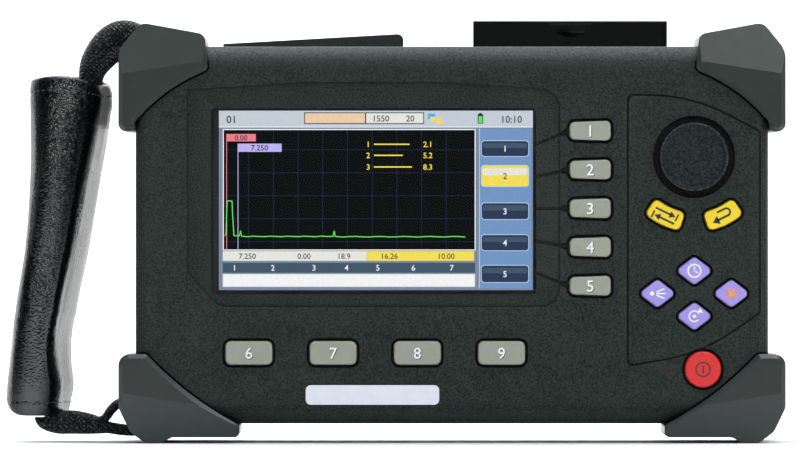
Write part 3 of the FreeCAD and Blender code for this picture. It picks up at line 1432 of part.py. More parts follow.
for name, bar_z in (("strap_bar_top", bar_high_z), ("strap_bar_bottom", bar_low_z)):
    bar = new_body(name)
    bar_end = new_sketch(bar, "XZ_Plane")
    circle(bar_end, d.strap_bar_radius)
    pad(bar, bar_end, strap_bar_length, both_ways=True)
    place(bar, bar_x, 0.0, bar_z)
    keep(bar)

strap_top = new_body("strap_webbing_top")
band = new_sketch(strap_top, "XZ_Plane")
top_left_x = d.grip_top_x + d.strap_top_offset
strap_low_z = d.grip_top_z + d.soft_gap
outline(band, [(top_left_x - 3.9, strap_low_z, 0.6), (top_left_x + 3.9, strap_low_z, 0.6),
               (top_left_x + 3.9, bar_high_z - 4.4, 3.5), (bar_x + 0.8, bar_high_z - 4.8, 1.5),
               (bar_x + 3.6, bar_high_z + 7.6, 1.5), (bar_x + 0.2, bar_high_z + 10.4, 5.0),
               (bar_x - 13.8, bar_high_z + 6.4, 12.0), (top_left_x - 3.9, bar_high_z - 2.4, 8.0)])
circle(band, d.strap_bar_radius + d.bumper_fit, bar_x, bar_high_z)
pad(strap_top, band, d.strap_bunch, both_ways=True)
place(strap_top)
keep(strap_top)

strap_low = new_body("strap_webbing_bottom")
loop = new_sketch(strap_low, "XZ_Plane")
under_grip = d.grip_bottom_z - d.soft_gap
ground_gap = d.strap_ground_gap
outline(loop, [(d.grip_bottom_x - 1.4, under_grip, 0.8), (d.grip_bottom_x - 1.6, under_grip - 1.4, 1.0),
               (d.grip_bottom_x + 4.6, ground_gap, 8.0), (bar_x - 2.2, ground_gap, 5.0),
               (bar_x + 3.4, bar_low_z - 3.5, 3.0), (bar_x + 3.4, bar_low_z + 3.5, 3.0),
               (bar_x - 1.8, bar_low_z + 4.4, 4.0), (bar_x - 6.9, bar_low_z + 7.6, 3.0),
               (bar_x - 13.6, bar_low_z + 2.2, 1.5), (d.grip_bottom_x + 12.4, under_grip + 1.9, 3.0),
               (d.grip_bottom_x + 12.2, under_grip, 0.6)])
outline(loop, [(bar_x - 10.4, bar_low_z - 1.4, 0.5), (bar_x - 3.8, bar_low_z - 1.7, 0.5),
               (bar_x - 3.2, bar_low_z + 0.8, 0.5), (bar_x - 6.6, bar_low_z + 3.9, 0.8)])
circle(loop, d.strap_bar_radius + d.bumper_fit, bar_x, bar_low_z)
pad(strap_low, loop, d.strap_width, both_ways=True)
place(strap_low)
keep(strap_low)

grip_pad = new_body("grip_pad")
GRIP_STATIONS = [
    (d.grip_bottom_z, d.grip_bottom_x, d.grip_bottom_width),
    (d.grip_bottom_z + d.grip_low_rise, d.grip_bottom_x + d.grip_low_lean, d.grip_low_width),
    (d.grip_bottom_z + d.grip_middle_rise, d.grip_bottom_x + d.grip_middle_lean, d.grip_middle_width),
    (d.grip_top_z - d.grip_upper_drop, d.grip_top_x - d.grip_upper_lean, d.grip_upper_width),
    (d.grip_top_z, d.grip_top_x, d.grip_top_width),
]
sections = []
for station_z, station_x, width in GRIP_STATIONS:
    section = new_sketch(grip_pad, "XY_Plane", z=station_z)
    outline(section, rectangle(station_x, 0.0, width, d.grip_depth, width * d.grip_round_share))
    section.Visibility = False
    sections.append(section)
grip_loft = grip_pad.newObject("PartDesign::AdditiveLoft", "grip_pad_loft")
grip_loft.Profile = sections[0]
grip_loft.Sections = sections[1:]
grip_loft.Ruled = False
doc.recompute()
place(grip_pad)
keep(grip_pad)

# ---- check and write ------------------------------------------------------------------------------------

doc.recompute()
for item in doc.Objects:
    if "Invalid" in item.State or "Error" in item.State:
        raise RuntimeError(f"{item.Name} failed: {item.State}")
for node in nodes:
    solid = node.Shape
    if solid.isNull() or not solid.isValid() or solid.Volume <= 0:
        raise RuntimeError(f"{node.Label} has no valid solid")
    if len(solid.Solids) != 1:
        print(f"{node.Label}: {len(solid.Solids)} solids")
    solid.exportStep(f"parts/{node.Label}.step")
print(f"{len(nodes)} nodes written, case middle at X = {float(case_x):.3f}")
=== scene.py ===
import math

import bmesh
import bpy
from mathutils import Matrix, Vector, noise


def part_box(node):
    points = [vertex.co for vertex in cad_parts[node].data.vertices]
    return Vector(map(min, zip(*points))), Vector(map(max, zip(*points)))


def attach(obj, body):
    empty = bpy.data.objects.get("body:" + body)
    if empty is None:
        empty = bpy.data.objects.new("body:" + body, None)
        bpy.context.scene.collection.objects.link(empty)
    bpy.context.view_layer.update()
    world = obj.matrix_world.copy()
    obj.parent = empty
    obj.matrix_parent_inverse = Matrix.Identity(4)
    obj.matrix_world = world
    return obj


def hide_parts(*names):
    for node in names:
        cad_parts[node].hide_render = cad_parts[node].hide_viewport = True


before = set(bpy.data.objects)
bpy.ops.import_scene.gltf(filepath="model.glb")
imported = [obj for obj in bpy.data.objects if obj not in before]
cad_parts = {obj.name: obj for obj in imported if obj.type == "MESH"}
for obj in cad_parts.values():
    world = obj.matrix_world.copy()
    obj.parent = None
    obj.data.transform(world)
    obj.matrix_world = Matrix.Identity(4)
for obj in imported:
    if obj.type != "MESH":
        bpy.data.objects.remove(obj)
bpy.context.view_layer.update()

MM = 0.001
BLACK = (0.0, 0.0, 0.0, 1.0)
# pointiness at which an edge starts to look sharp, and at which it is fully sharp
SHARP = (0.52, 0.6)
# the dial's flat face, as a share of its radius; the half width of the painted highlight round its rim, and
# where the side turns matt
DIAL_FACE_SHARE = 0.935
DIAL_RIM_HIGHLIGHT, DIAL_MATT = 1.0 * MM, 0.3 * MM


# ---- materials ----

class Surface:
    """A procedural material: one Principled shader and the nodes that feed it."""

    def __init__(self, name, colour, roughness, metallic=0.0, **sockets):
        self.material = bpy.data.materials.new(name)
        self.material.use_nodes = True
        self.tree = self.material.node_tree
        self.shader = self.tree.nodes["Principled BSDF"]
        self.colour = colour
        self.set("Base Color", (*colour, 1.0))
        self.set("Roughness", roughness)
        self.set("Metallic", metallic)
        for socket, value in sockets.items():
            self.set(socket.replace("_", " "), value)
        self.place = self.node("ShaderNodeTexCoord").outputs["Object"]
        self.height = None

    def set(self, socket, value):
        self.shader.inputs[socket].default_value = value

    def node(self, kind, **settings):
        made = self.tree.nodes.new(kind)
        for name, value in settings.items():
            setattr(made, name, value)
        return made

    def link(self, output, socket):
        self.tree.links.new(output, socket)

    def feed(self, output, socket):
        """Let an output set one of the shader's own sockets."""
        self.link(output, self.shader.inputs[socket])

    def feeding(self, socket):
        """The output that sets one of the shader's sockets so far."""
        return self.shader.inputs[socket].links[0].from_socket

    def axes(self):
        """Place on the object, as three outputs."""
        split = self.node("ShaderNodeSeparateXYZ")
        self.link(self.place, split.inputs[0])
        return split.outputs

    def stretched(self, scale):
        """Texture position with its own scale along each axis."""
        mapping = self.node("ShaderNodeMapping")
        mapping.inputs["Scale"].default_value = scale
        self.link(self.place, mapping.inputs["Vector"])
        return mapping.outputs["Vector"]

    def noise(self, size, detail=2.0, rough=0.5, at=None):
        """Noise whose grains are about size metres across."""
        made = self.node("ShaderNodeTexNoise")
        made.inputs["Scale"].default_value = 1.0 / size
        made.inputs["Detail"].default_value = detail
        made.inputs["Roughness"].default_value = rough
        self.link(at or self.place, made.inputs["Vector"])
        return made.outputs["Fac"]

    def cells(self, size, feature, smooth=0.0):
        """Pattern of cells about size metres across."""
        made = self.node("ShaderNodeTexVoronoi", feature=feature)
        made.inputs["Scale"].default_value = 1.0 / size
        if feature == "SMOOTH_F1":
            made.inputs["Smoothness"].default_value = smooth
        self.link(self.place, made.inputs["Vector"])
        return made.outputs["Distance"]

    def ramp(self, value, low, high, start=0.0, end=1.0):
        """Map a value from low..high to start..end."""
        made = self.node("ShaderNodeMapRange")
        for name, number in (("From Min", low), ("From Max", high), ("To Min", start), ("To Max", end)):
            made.inputs[name].default_value = number
        self.link(value, made.inputs["Value"])
        return made.outputs["Result"]

    def fill(self, pairs):
        """Set each socket to its value, or link it when the value is an output."""
        for socket, value in pairs:
            if isinstance(value, bpy.types.NodeSocket):
                self.link(value, socket)
            else:
                socket.default_value = value

    def maths(self, operation, first, second):
        made = self.node("ShaderNodeMath", operation=operation)
        self.fill(zip(made.inputs, (first, second)))
        return made.outputs[0]

    def mix(self, share, first, second, blend="MIX"):
        """Blend of two colours, each a colour value or an output."""
        made = self.node("ShaderNodeMix", data_type="RGBA", blend_type=blend)
        self.fill(((made.inputs[0], share), (made.inputs[6], first), (made.inputs[7], second)))
        return made.outputs[2]

    def mix_shaders(self, share, first, second):
        """Let a blend of two shaders make the surface."""
        made = self.node("ShaderNodeMixShader")
        for output, socket in zip((share, first, second), made.inputs):
            self.link(output, socket)
        self.link(made.outputs[0], self.tree.nodes["Material Output"].inputs["Surface"])

    def shade(self, light, lift=0.0):
        """The base colour, made lighter or darker."""
        return (*[min(1.0, channel * light + lift) for channel in self.colour], 1.0)

    def tint(self, value, dark, light):
        """Colour between two shades of the base colour, by a value from 0 to 1."""
        self.feed(self.mix(value, self.shade(dark), self.shade(light)), "Base Color")

    def roughen(self, value, low, high):
        self.feed(self.ramp(value, 0.0, 1.0, low, high), "Roughness")

    def bump(self, value, distance, strength=1.0):
        """Add relief, in metres, on top of any relief there already is."""
        made = self.node("ShaderNodeBump")
        made.inputs["Distance"].default_value = distance
        made.inputs["Strength"].default_value = strength
        self.link(value, made.inputs["Height"])
        if self.height is not None:
            self.link(self.height, made.inputs["Normal"])
        self.height = made.outputs["Normal"]
        self.feed(self.height, "Normal")

    def worn_edges(self, amount):
        """Lighten sharp outer edges a little, as handling does."""
        edge = self.ramp(self.node("ShaderNodeNewGeometry").outputs["Pointiness"], *SHARP)
        patchy = self.maths("MULTIPLY", edge, self.noise(4 * MM))
        share = self.maths("MULTIPLY", patchy, amount)
        self.feed(self.mix(share, self.feeding("Base Color"), self.shade(2.6, 0.02)), "Base Color")

    def crevice_shade(self, reach, low, high):
        """Paint shade into what lies deep in gaps and corners by darkening its colour, and dull it there,
        where handling never polishes.
        """
        shelter = self.node("ShaderNodeAmbientOcclusion", samples=6)
        shelter.inputs["Distance"].default_value = reach
        open_air = self.ramp(shelter.outputs["AO"], low, high)
        # painted shade: the colour goes to black where little open air is around
        self.feed(self.mix(open_air, BLACK, self.feeding("Base Color")), "Base Color")
        dull = self.maths("SUBTRACT", 1.0, open_air)
        self.feed(self.maths("MAXIMUM", self.feeding("Roughness"), dull), "Roughness")


def moulded_surface(name, colour, roughness, relief=0.12 * MM, wear=0.35, shine=0.22):
    """Plastic from a spark-eroded mould: fine even grain, faint cloudiness, edges slightly polished."""
    surface = Surface(name, colour, roughness, Specular_IOR_Level=shine)
    grain = 0.6 * MM
    sparks = surface.noise(grain, 2.0)
    cloud = surface.noise(16 * MM, 2.0)
    speckle = surface.maths("ADD", surface.maths("MULTIPLY", cloud, 0.12),
                            surface.maths("MULTIPLY", sparks, 0.88))
    surface.tint(surface.ramp(speckle, 0.34, 0.68), 0.1, 3.0)
    surface.roughen(surface.ramp(sparks, 0.35, 0.65), roughness + 0.14, roughness - 0.12)
    surface.bump(surface.noise(grain * 0.8, 2.0, 0.6), relief)
    if wear:
        surface.worn_edges(wear)
    # painted shade in gaps, grooves and corners
    surface.crevice_shade(2.2 * MM, 0.3, 0.85)
    return surface


def dial_plastic(name, colour):
    """The dial's plastic: satin on its face, with a painted highlight round the rim, and matt on the
    knurled side, which painted shade darkens to black.
    """
    surface = moulded_surface(name, colour, 0.56, relief=0.08 * MM, wear=0.0, shine=0.18)
    low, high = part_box("dial_knob")
    middle = (Vector(low) + Vector(high)) / 2
    edge = (high[0] - low[0]) / 2 * DIAL_FACE_SHARE
    x, _, z = surface.axes()
    flat = surface.node("ShaderNodeCombineXYZ")
    radius = surface.node("ShaderNodeVectorMath", operation="DISTANCE")
    surface.fill(((flat.inputs["X"], x), (flat.inputs["Y"], middle.y), (flat.inputs["Z"], z),
                  (radius.inputs[0], flat.outputs[0]), (radius.inputs[1], middle)))
    radius = radius.outputs["Value"]

    # painted highlight and painted shade: a bright band round the rim, and the knurled side darkened to
    # black, multiplied into the colour
    rim_highlight_and_shade = surface.node("ShaderNodeValToRGB")
    surface.link(surface.ramp(radius, edge - DIAL_RIM_HIGHLIGHT, edge + DIAL_RIM_HIGHLIGHT), rim_highlight_and_shade.inputs["Fac"])
    face, side = rim_highlight_and_shade.color_ramp.elements
    face.position, face.color = 0.30, (1.0, 1.0, 1.0, 1.0)
    side.position, side.color = 0.62, (0.05, 0.05, 0.05, 1.0)
    rim_highlight_and_shade.color_ramp.elements.new(0.45).color = (3.2, 3.2, 3.2, 1.0)
    painted_dial_colour = surface.mix(1.0, surface.feeding("Base Color"), rim_highlight_and_shade.outputs["Color"], "MULTIPLY")
    surface.feed(painted_dial_colour, "Base Color")
    matt = surface.ramp(radius, edge, edge + DIAL_MATT)
    surface.feed(surface.maths("MAXIMUM", surface.feeding("Roughness"), matt), "Roughness")
    return surface.material


def bumper_rubber(name, colour):
    """Satin rubber with a faint cloudiness and slightly worn edges."""
    surface = Surface(name, colour, 0.32, Specular_IOR_Level=0.6)
    surface.tint(surface.noise(9 * MM, 4.0), 0.8, 1.25)
    surface.roughen(surface.noise(1.5 * MM), 0.26, 0.36)
    surface.bump(surface.noise(0.3 * MM, 3.0, 0.7), 0.03 * MM, 0.6)
    surface.bump(surface.noise(7 * MM, 2.0), 0.12 * MM, 0.3)
    surface.worn_edges(0.3)
    # painted shade where the rubber meets other parts and in its corners
    surface.crevice_shade(1.6 * MM, 0.25, 0.7)
    return surface.material


def gloss_plastic(name, colour, roughness=0.12):
    """Glossy plastic with faint smears."""
    surface = Surface(name, colour, roughness, Coat_Weight=0.25, Coat_Roughness=0.05)
    surface.tint(surface.noise(20 * MM), 0.85, 1.2)
    surface.roughen(surface.noise(5 * MM, 4.0), roughness * 0.7, roughness * 1.6)
    surface.bump(surface.noise(12 * MM), 0.05 * MM, 0.15)
    return surface.material


def key_rubber(name, colour, roughness=0.42):
    """Moulded key cap: slightly cloudy, with a fine satin grain."""
    surface = Surface(name, colour, roughness, Subsurface_Weight=0.08, Subsurface_Scale=0.001)
    surface.tint(surface.noise(3 * MM, 3.0), 0.93, 1.06)
    surface.roughen(surface.noise(1 * MM), roughness - 0.05, roughness + 0.08)
    surface.bump(surface.noise(0.35 * MM, 2.0), 0.015 * MM, 0.5)
    return surface.material


def machined_metal(name, colour, roughness, along):
    """Bare metal with tool marks that run one way."""
    surface = Surface(name, colour, roughness, metallic=1.0)
    streaks = surface.noise(0.4 * MM, 3.0, at=surface.stretched(along))
    surface.tint(streaks, 0.8, 1.1)
    surface.roughen(streaks, roughness - 0.1, roughness + 0.15)
    surface.bump(streaks, 0.01 * MM, 0.5)
    return surface.material


def circuit_board(name, colour):
    """Lacquered board with tracks that show through."""
    surface = Surface(name, colour, 0.35, Coat_Weight=0.3)
    tracks = surface.cells(3.2 * MM, "DISTANCE_TO_EDGE")
    surface.tint(surface.ramp(tracks, 0.02, 0.08), 1.7, 0.85)
    surface.roughen(surface.noise(2 * MM), 0.25, 0.45)
    return surface.material


def clear_glass(name):
    """Thin cover glass: clear, with a weak reflection that grows at a slant and a few faint smears."""
    surface = Surface(name, (1.0, 1.0, 1.0), 0.0)
    glancing = surface.node("ShaderNodeLayerWeight")
    glancing.inputs["Blend"].default_value = 0.18
    gloss = surface.node("ShaderNodeBsdfGlossy")
    surface.link(surface.ramp(surface.noise(18 * MM, 4.0), 0.0, 1.0, 0.02, 0.07), gloss.inputs["Roughness"])
    clear = surface.node("ShaderNodeBsdfTransparent")
    surface.mix_shaders(glancing.outputs["Fresnel"], clear.outputs[0], gloss.outputs[0])
    surface.tree.nodes.remove(surface.shader)
    return surface.material


def glow(name, colour):
    """Lit picture elements, with the faint cell structure of a liquid-crystal panel."""
    surface = Surface(name, (0.0, 0.0, 0.0), 0.35, Specular_IOR_Level=0.0, Emission_Strength=1.0)
    grid = surface.ramp(surface.noise(0.6 * MM, 1.0), 0.2, 0.8, 0.93, 1.05)
    surface.feed(surface.mix(1.0, (*colour, 1.0), grid, "MULTIPLY"), "Emission Color")
    return surface.material


CASING = moulded_surface("casing_plastic", (0.0072, 0.0110, 0.0084), 0.5).material
RUBBER = bumper_rubber("bumper_rubber", (0.0085, 0.0130, 0.0100))
GREY_KEY = key_rubber("grey_key", (0.305, 0.312, 0.25))
YELLOW_KEY = key_rubber("yellow_key", (0.85, 0.60, 0.012), 0.38)
LILAC_KEY = key_rubber("lilac_key", (0.35, 0.275, 0.70))
RED_KEY = key_rubber("red_key", (0.72, 0.02, 0.018), 0.3)
DIAL = dial_plastic("dial_plastic", (0.006, 0.0095, 0.009))
GLOSS = gloss_plastic("gloss_black", (0.003, 0.0035, 0.0035))
SILICONE = bumper_rubber("black_silicone", (0.006, 0.009, 0.009))
CREAM = key_rubber("cream_plate", (0.80, 0.80, 0.86), 0.35)
BOARD = circuit_board("circuit_board", (0.012, 0.10, 0.045))
STEEL = machined_metal("steel", (0.42, 0.42, 0.42), 0.42, (1.0, 6.0, 1.0))
NICKEL = machined_metal("nickel", (0.72, 0.70, 0.66), 0.22, (1.0, 1.0, 8.0))
ALUMINIUM = machined_metal("aluminium", (0.60, 0.61, 0.62), 0.38, (8.0, 1.0, 1.0))
WRAP = gloss_plastic("battery_wrap", (0.02, 0.03, 0.06), 0.3)
LAMP = gloss_plastic("lamp", (0.04, 0.01, 0.01), 0.2)
GLASS = clear_glass("display_glass")
PANEL_BLACK = gloss_plastic("panel_black", (0.006, 0.006, 0.008), 0.3)

SOFT_KEYS = [f"key_soft_{number}" for number in range(1, 6)]
GREY_KEYS = (*SOFT_KEYS, "key_menu", "key_file", "key_setup", "key_result")
MADE_OF = (
    (GREY_KEY, GREY_KEYS),
    (YELLOW_KEY, ("key_tab", "key_escape")),
    (LILAC_KEY, ("key_real_time", "key_auto", "key_light_source", "key_test")),
    (RED_KEY, ("key_power",)),
    (RUBBER, ("bumper_top_left", "bumper_top_right", "bumper_bottom_left", "bumper_bottom_right")),
    (SILICONE, ("rubber_flap", "keypad_membrane")),
    (GLOSS, ("port_lid", "port_bay")),
    (DIAL, ("dial_knob",)),
    (GLASS, ("lcd_lens",)),
    (PANEL_BLACK, ("lcd_module",)),
    (CREAM, ("name_plate",)),
    (LAMP, ("status_led",)),
    (BOARD, ("main_board", "keypad_board")),
    (ALUMINIUM, ("optical_module",)),
    (WRAP, ("battery_pack",)),
    (NICKEL, ("otdr_port", "fault_locator_port", "usb_socket", "network_socket")),
    (STEEL, ("encoder_shaft", "encoder_rotor", "strap_bar_top", "strap_bar_bottom")),
)
NODE_MATERIALS = {name: material for material, names in MADE_OF for name in names}


def node_material(name):
    """Material of a CAD node: fasteners and pins are steel, and what has no row above is casing plastic."""
    plain = STEEL if "screw" in name or "pin" in name else CASING
    return NODE_MATERIALS.get(name, plain)


for name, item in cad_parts.items():
    item.data.materials.clear()
    item.data.materials.append(node_material(name))


# ---- pieces drawn flat on a face ----

# millimetres between one layer of a picture and the next
LAYER = 0.04
# letter size and extra stroke for numerals of a given height
NUMERAL_SCALE, NUMERAL_BOLD = 1.38, 0.012


class Flat:
    """Thin printed or lit shapes on one face, drawn in millimetres about a point of that face."""

    def __init__(self, x, y, z, turn=0.0):
        self.form = bmesh.new()
        self.place = Matrix.Translation((x, y, z)) @ Matrix.Rotation(math.radians(turn), 4, "Y")

    def polygon(self, points, slot=0, layer=0):
        """One face; its slot picks the material and its layer says how far it stands off."""
        self.face([self.corner(x, z, layer) for x, z in points], slot)

    def corner(self, x, z, layer):
        return self.form.verts.new(self.place @ Vector((x * MM, -LAYER * layer * MM, z * MM)))

    def face(self, corners, slot):
        self.form.faces.new(corners).material_index = slot

    def bar(self, x, z, width, height, slot=0, layer=0):
        """Rectangle about its middle."""
        half_width, half_height = width / 2, height / 2
        self.polygon([(x - half_width, z - half_height), (x + half_width, z - half_height),
                      (x + half_width, z + half_height), (x - half_width, z + half_height)], slot, layer)

    def pill(self, x, z, width, height, radius, slot, layer):
        """Rectangle with round corners."""
        points = []
        for corner, (side, rise) in enumerate(((1, 1), (-1, 1), (-1, -1), (1, -1))):
            for step in range(5):
                angle = math.radians(90.0 * corner + 22.5 * step)
                points.append((x + side * (width / 2 - radius) + radius * math.cos(angle),
                               z + rise * (height / 2 - radius) + radius * math.sin(angle)))
        self.polygon(points, slot, layer)

    def ring(self, x, z, inner, outer, start=0.0, end=360.0):
        """Arc of a ring, from one angle in degrees to another."""
        steps = max(6, round(abs(end - start) / 10))
        angles = [math.radians(start + (end - start) * step / steps) for step in range(steps + 1)]
        for first, second in zip(angles, angles[1:]):
            points = [(x + radius * math.cos(angle), z + radius * math.sin(angle))
                      for radius, angle in ((inner, first), (outer, first),
                                            (outer, second), (inner, second))]
            self.polygon(points)

    def disc(self, x, z, radius):
        self.polygon([(x + radius * math.cos(math.radians(15 * step)),
                       z + radius * math.sin(math.radians(15 * step))) for step in range(24)])

    def line(self, points, width, slot=0, layer=0):
        """Ribbon of one width along a run of points."""
        for (x1, z1), (x2, z2) in zip(points, points[1:]):
            along = Vector((x2 - x1, z2 - z1)).normalized() * width / 2
            side = Vector((-along.y, along.x))
            self.polygon([(x1 + side.x - along.x, z1 + side.y - along.y),
                          (x1 - side.x - along.x, z1 - side.y - along.y),
                          (x2 - side.x + along.x, z2 - side.y + along.y),
                          (x2 + side.x + along.x, z2 + side.y + along.y)], slot, layer)

    def number(self, text, x, z, size, slot, layer, align="CENTER"):
        """Plain numerals whose middle height is at z."""
        letters = bpy.data.curves.new("numerals", "FONT")
        letters.body = text
        letters.size = size * NUMERAL_SCALE
        letters.align_x = align
        letters.offset = size * NUMERAL_BOLD
        letters.resolution_u = 3
        carrier = bpy.data.objects.new("numerals", letters)
        mesh = bpy.data.meshes.new_from_object(carrier)
        corners = [self.corner(x + vert.co.x, z - size / 2 + vert.co.y, layer) for vert in mesh.vertices]
        for face in mesh.polygons:
            self.face([corners[index] for index in face.vertices], slot)
        bpy.data.objects.remove(carrier)
        bpy.data.curves.remove(letters)
        bpy.data.meshes.remove(mesh)

    def finish(self, name, materials, body, thickness=0.0):
        """Make the piece; with a thickness the shapes become slabs that sink into their face."""
        self.form.normal_update()
        if thickness:
            faces = list(self.form.faces)
            extruded = bmesh.ops.extrude_face_region(self.form, geom=faces, use_keep_orig=True)
            moved = [item for item in extruded["geom"] if isinstance(item, bmesh.types.BMVert)]
            bmesh.ops.translate(self.form, verts=moved, vec=(0.0, thickness * MM, 0.0))
        return piece_from(self.form, name, materials, body)


def piece_from(form, name, materials, body, smooth=False):
    """Piece of the visual model, which moves with its body."""
    mesh = bpy.data.meshes.new(name)
    form.to_mesh(mesh)
    form.free()
    for material in materials:
        mesh.materials.append(material)
    for face in mesh.polygons:
        face.use_smooth = smooth
    piece = bpy.data.objects.new(name, mesh)
    bpy.context.collection.objects.link(piece)
    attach(piece, body)
    return piece


# ---- the lit display: generic trace, grid, bars and numbers ----

SCREEN_COLOURS = {
    "backlight": (0.20, 0.26, 0.36), "pale": (0.56, 0.62, 0.70), "black": (0.005, 0.0065, 0.007),
    "white": (0.90, 0.92, 0.92), "grid": (0.022, 0.035, 0.075), "green": (0.12, 0.80, 0.10),
    "yellow": (0.92, 0.74, 0.10), "pink": (0.85, 0.22, 0.26), "lilac": (0.52, 0.46, 0.88),
    "peach": (0.84, 0.62, 0.40), "navy": (0.03, 0.045, 0.10), "teal": (0.06, 0.10, 0.15),
    "sky": (0.10, 0.45, 0.80), "column": (0.175, 0.31, 0.56), "column_edge": (0.45, 0.58, 0.78),
    "ivory": (0.80, 0.80, 0.74), "ink": (0.02, 0.03, 0.06),
}
# the lens's lip, and the dark margin of the panel inside it: left, right, under and over the lit area
LENS_LIP = 2.0 * MM
MARGIN_LEFT, MARGIN_RIGHT, MARGIN_LOW, MARGIN_TOP = 2.7 * MM, 1.1 * MM, 1.4 * MM, 0.9 * MM
PICTURE_LIFT = 0.03 * MM
TEXT_LAYER = 9
PLOT_LEFT, PLOT_TOP, PLOT_RIGHT, PLOT_LOW = 1.7, 6.8, 90.1, 48.9
PLOT_WIDTH, PLOT_HEIGHT = PLOT_RIGHT - PLOT_LEFT, PLOT_LOW - PLOT_TOP
PLOT_FRAME = 0.35
# width of the grid's lines, the steps between them across and down, and where its rows count from
GRID_LINE, GRID_ACROSS, GRID_DOWN, GRID_START = 0.16, 8.7, 8.1, -1.2


class Screen(Flat):
    """The lit picture, in millimetres right of and below the upper left corner of the lit area."""

    def __init__(self):
        low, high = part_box("lcd_lens")
        left, right = low[0] + LENS_LIP + MARGIN_LEFT, high[0] - LENS_LIP - MARGIN_RIGHT
        bottom, top = low[2] + LENS_LIP + MARGIN_LOW, high[2] - LENS_LIP - MARGIN_TOP
        super().__init__(left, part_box("lcd_module")[0][1] - PICTURE_LIFT, top)
        self.width, self.height = (right - left) / MM, (top - bottom) / MM
        self.slots = {name: index for index, name in enumerate(SCREEN_COLOURS)}

    def box(self, u, v, wide, tall, colour, layer):
        """Rectangle by its upper left corner."""
        self.bar(u + wide / 2, -(v + tall / 2), wide, tall, self.slots[colour], layer)

    def digits(self, text, u, v, size, colour, align="CENTER"):
        self.number(text, u, -v, size, self.slots[colour], TEXT_LAYER, align)


def title_bar(screen):
    """Heading, progress box, two small signs, battery and clock."""
    screen.box(0.0, 0.0, screen.width, 5.9, "pale", 1)
    screen.box(0.0, 5.6, screen.width, 0.3, "white", 2)
    screen.digits("01", 2.6, 3.0, 2.7, "ink", align="LEFT")
    screen.box(30.0, 0.6, 42.3, 4.1, "ink", 3)
    screen.box(30.3, 0.9, 21.2, 3.5, "peach", 4)
    screen.box(51.9, 0.9, 20.1, 3.5, "ivory", 4)
    screen.digits("1550", 57.0, 2.7, 2.2, "ink")
    screen.digits("20", 67.4, 2.7, 2.2, "ink")
    screen.box(73.6, 1.0, 2.6, 2.0, "sky", 3)
    screen.box(74.5, 2.2, 2.0, 1.6, "yellow", 4)
    screen.polygon([(76.3, -4.6), (79.3, -4.6), (77.8, -1.8)], screen.slots["yellow"], 5)
    screen.box(91.2, 1.2, 1.9, 3.4, "ink", 3)
    screen.box(91.5, 1.9, 1.3, 2.5, "green", 4)
    screen.box(91.7, 0.8, 0.9, 0.5, "ink", 3)
    screen.digits("10:10", 103.0, 3.0, 2.5, "ink")


def plot_area(screen):
    """Black plot with its frame, grid, two markers and three readings."""
    screen.box(PLOT_LEFT - PLOT_FRAME, PLOT_TOP - PLOT_FRAME, PLOT_WIDTH + 2 * PLOT_FRAME,
               PLOT_HEIGHT + 2 * PLOT_FRAME, "white", 2)
    screen.box(PLOT_LEFT, PLOT_TOP, PLOT_WIDTH, PLOT_HEIGHT, "black", 3)
    for column in range(1, 10):
        screen.box(PLOT_LEFT + GRID_ACROSS * column, PLOT_TOP, GRID_LINE, PLOT_HEIGHT, "grid", 4)
    for row in range(1, 6):
        screen.box(PLOT_LEFT, PLOT_TOP + GRID_DOWN * row + GRID_START, PLOT_WIDTH, GRID_LINE, "grid", 4)
    screen.box(2.6, 10.8, 0.25, PLOT_LOW - 10.8, "pink", 5)
    screen.box(6.6, 14.4, 0.25, PLOT_LOW - 14.4, "lilac", 5)
    screen.box(2.6, 8.2, 10.4, 2.6, "pink", 5)
    screen.digits("0.00", 7.8, 9.5, 1.9, "ink")
    screen.box(6.6, 11.6, 15.5, 2.9, "lilac", 5)
    screen.digits("7.250", 14.3, 13.0, 2.0, "ink")
    for row, (v, long) in enumerate(((11.8, 12.6), (15.7, 10.2), (19.8, 13.4))):
        screen.digits(f"{row + 1}", 52.6, v, 2.0, "yellow")
        screen.box(54.6, v - 0.2, long, 0.45, "yellow", 6)
        screen.digits(f"{row * 3 + 2}.{row + 1}", 73.6, v, 2.0, "yellow")


def fibre_trace(screen):
    """The trace: launch spike, noisy fall, long flat run with two small events."""
    trace = [(2.0, 43.9), (2.5, 43.5), (2.9, 31.8), (4.6, 31.8), (4.8, 36.2), (5.3, 44.0), (7.2, 44.1),
             (7.6, 42.4), (8.0, 44.2)]
    trace += [(8.0 + 2.0 * step, 44.3 + 0.12 * math.sin(step * 2.1)) for step in range(1, 16)]
    trace += [(40.2, 44.3), (40.6, 42.5), (41.0, 44.3)]
    trace += [(41.0 + 2.4 * step, 44.4 + 0.12 * math.sin(step * 1.7)) for step in range(1, 20)]
    screen.line([(u, -v) for u, v in trace], 0.34, screen.slots["green"], 7)


def readings(screen):
    """Band under the plot, table heading and one empty row."""
    screen.box(PLOT_LEFT - PLOT_FRAME, 49.5, 50.6, 3.4, "ivory", 2)
    screen.box(PLOT_LEFT + 50.3, 49.5, 37.9, 3.4, "yellow", 2)
    for text, u in (("7.250", 10.0), ("0.00", 30.0), ("18.9", 44.0), ("16.26", 60.0), ("10.00", 80.0)):
        screen.digits(text, u, 51.2, 2.0, "ink")
    screen.box(PLOT_LEFT - PLOT_FRAME, 53.6, 88.9, 3.5, "teal", 2)
    for column, u in enumerate((5.5, 19.0, 33.5, 45.0, 56.0, 68.5, 82.0), start=1):
        screen.digits(f"{column}", u, 55.3, 2.1, "white")
    screen.box(PLOT_LEFT - PLOT_FRAME, 57.5, 88.9, 4.6, "ivory", 2)
    screen.box(PLOT_LEFT, 57.8, 88.2, 3.9, "white", 3)


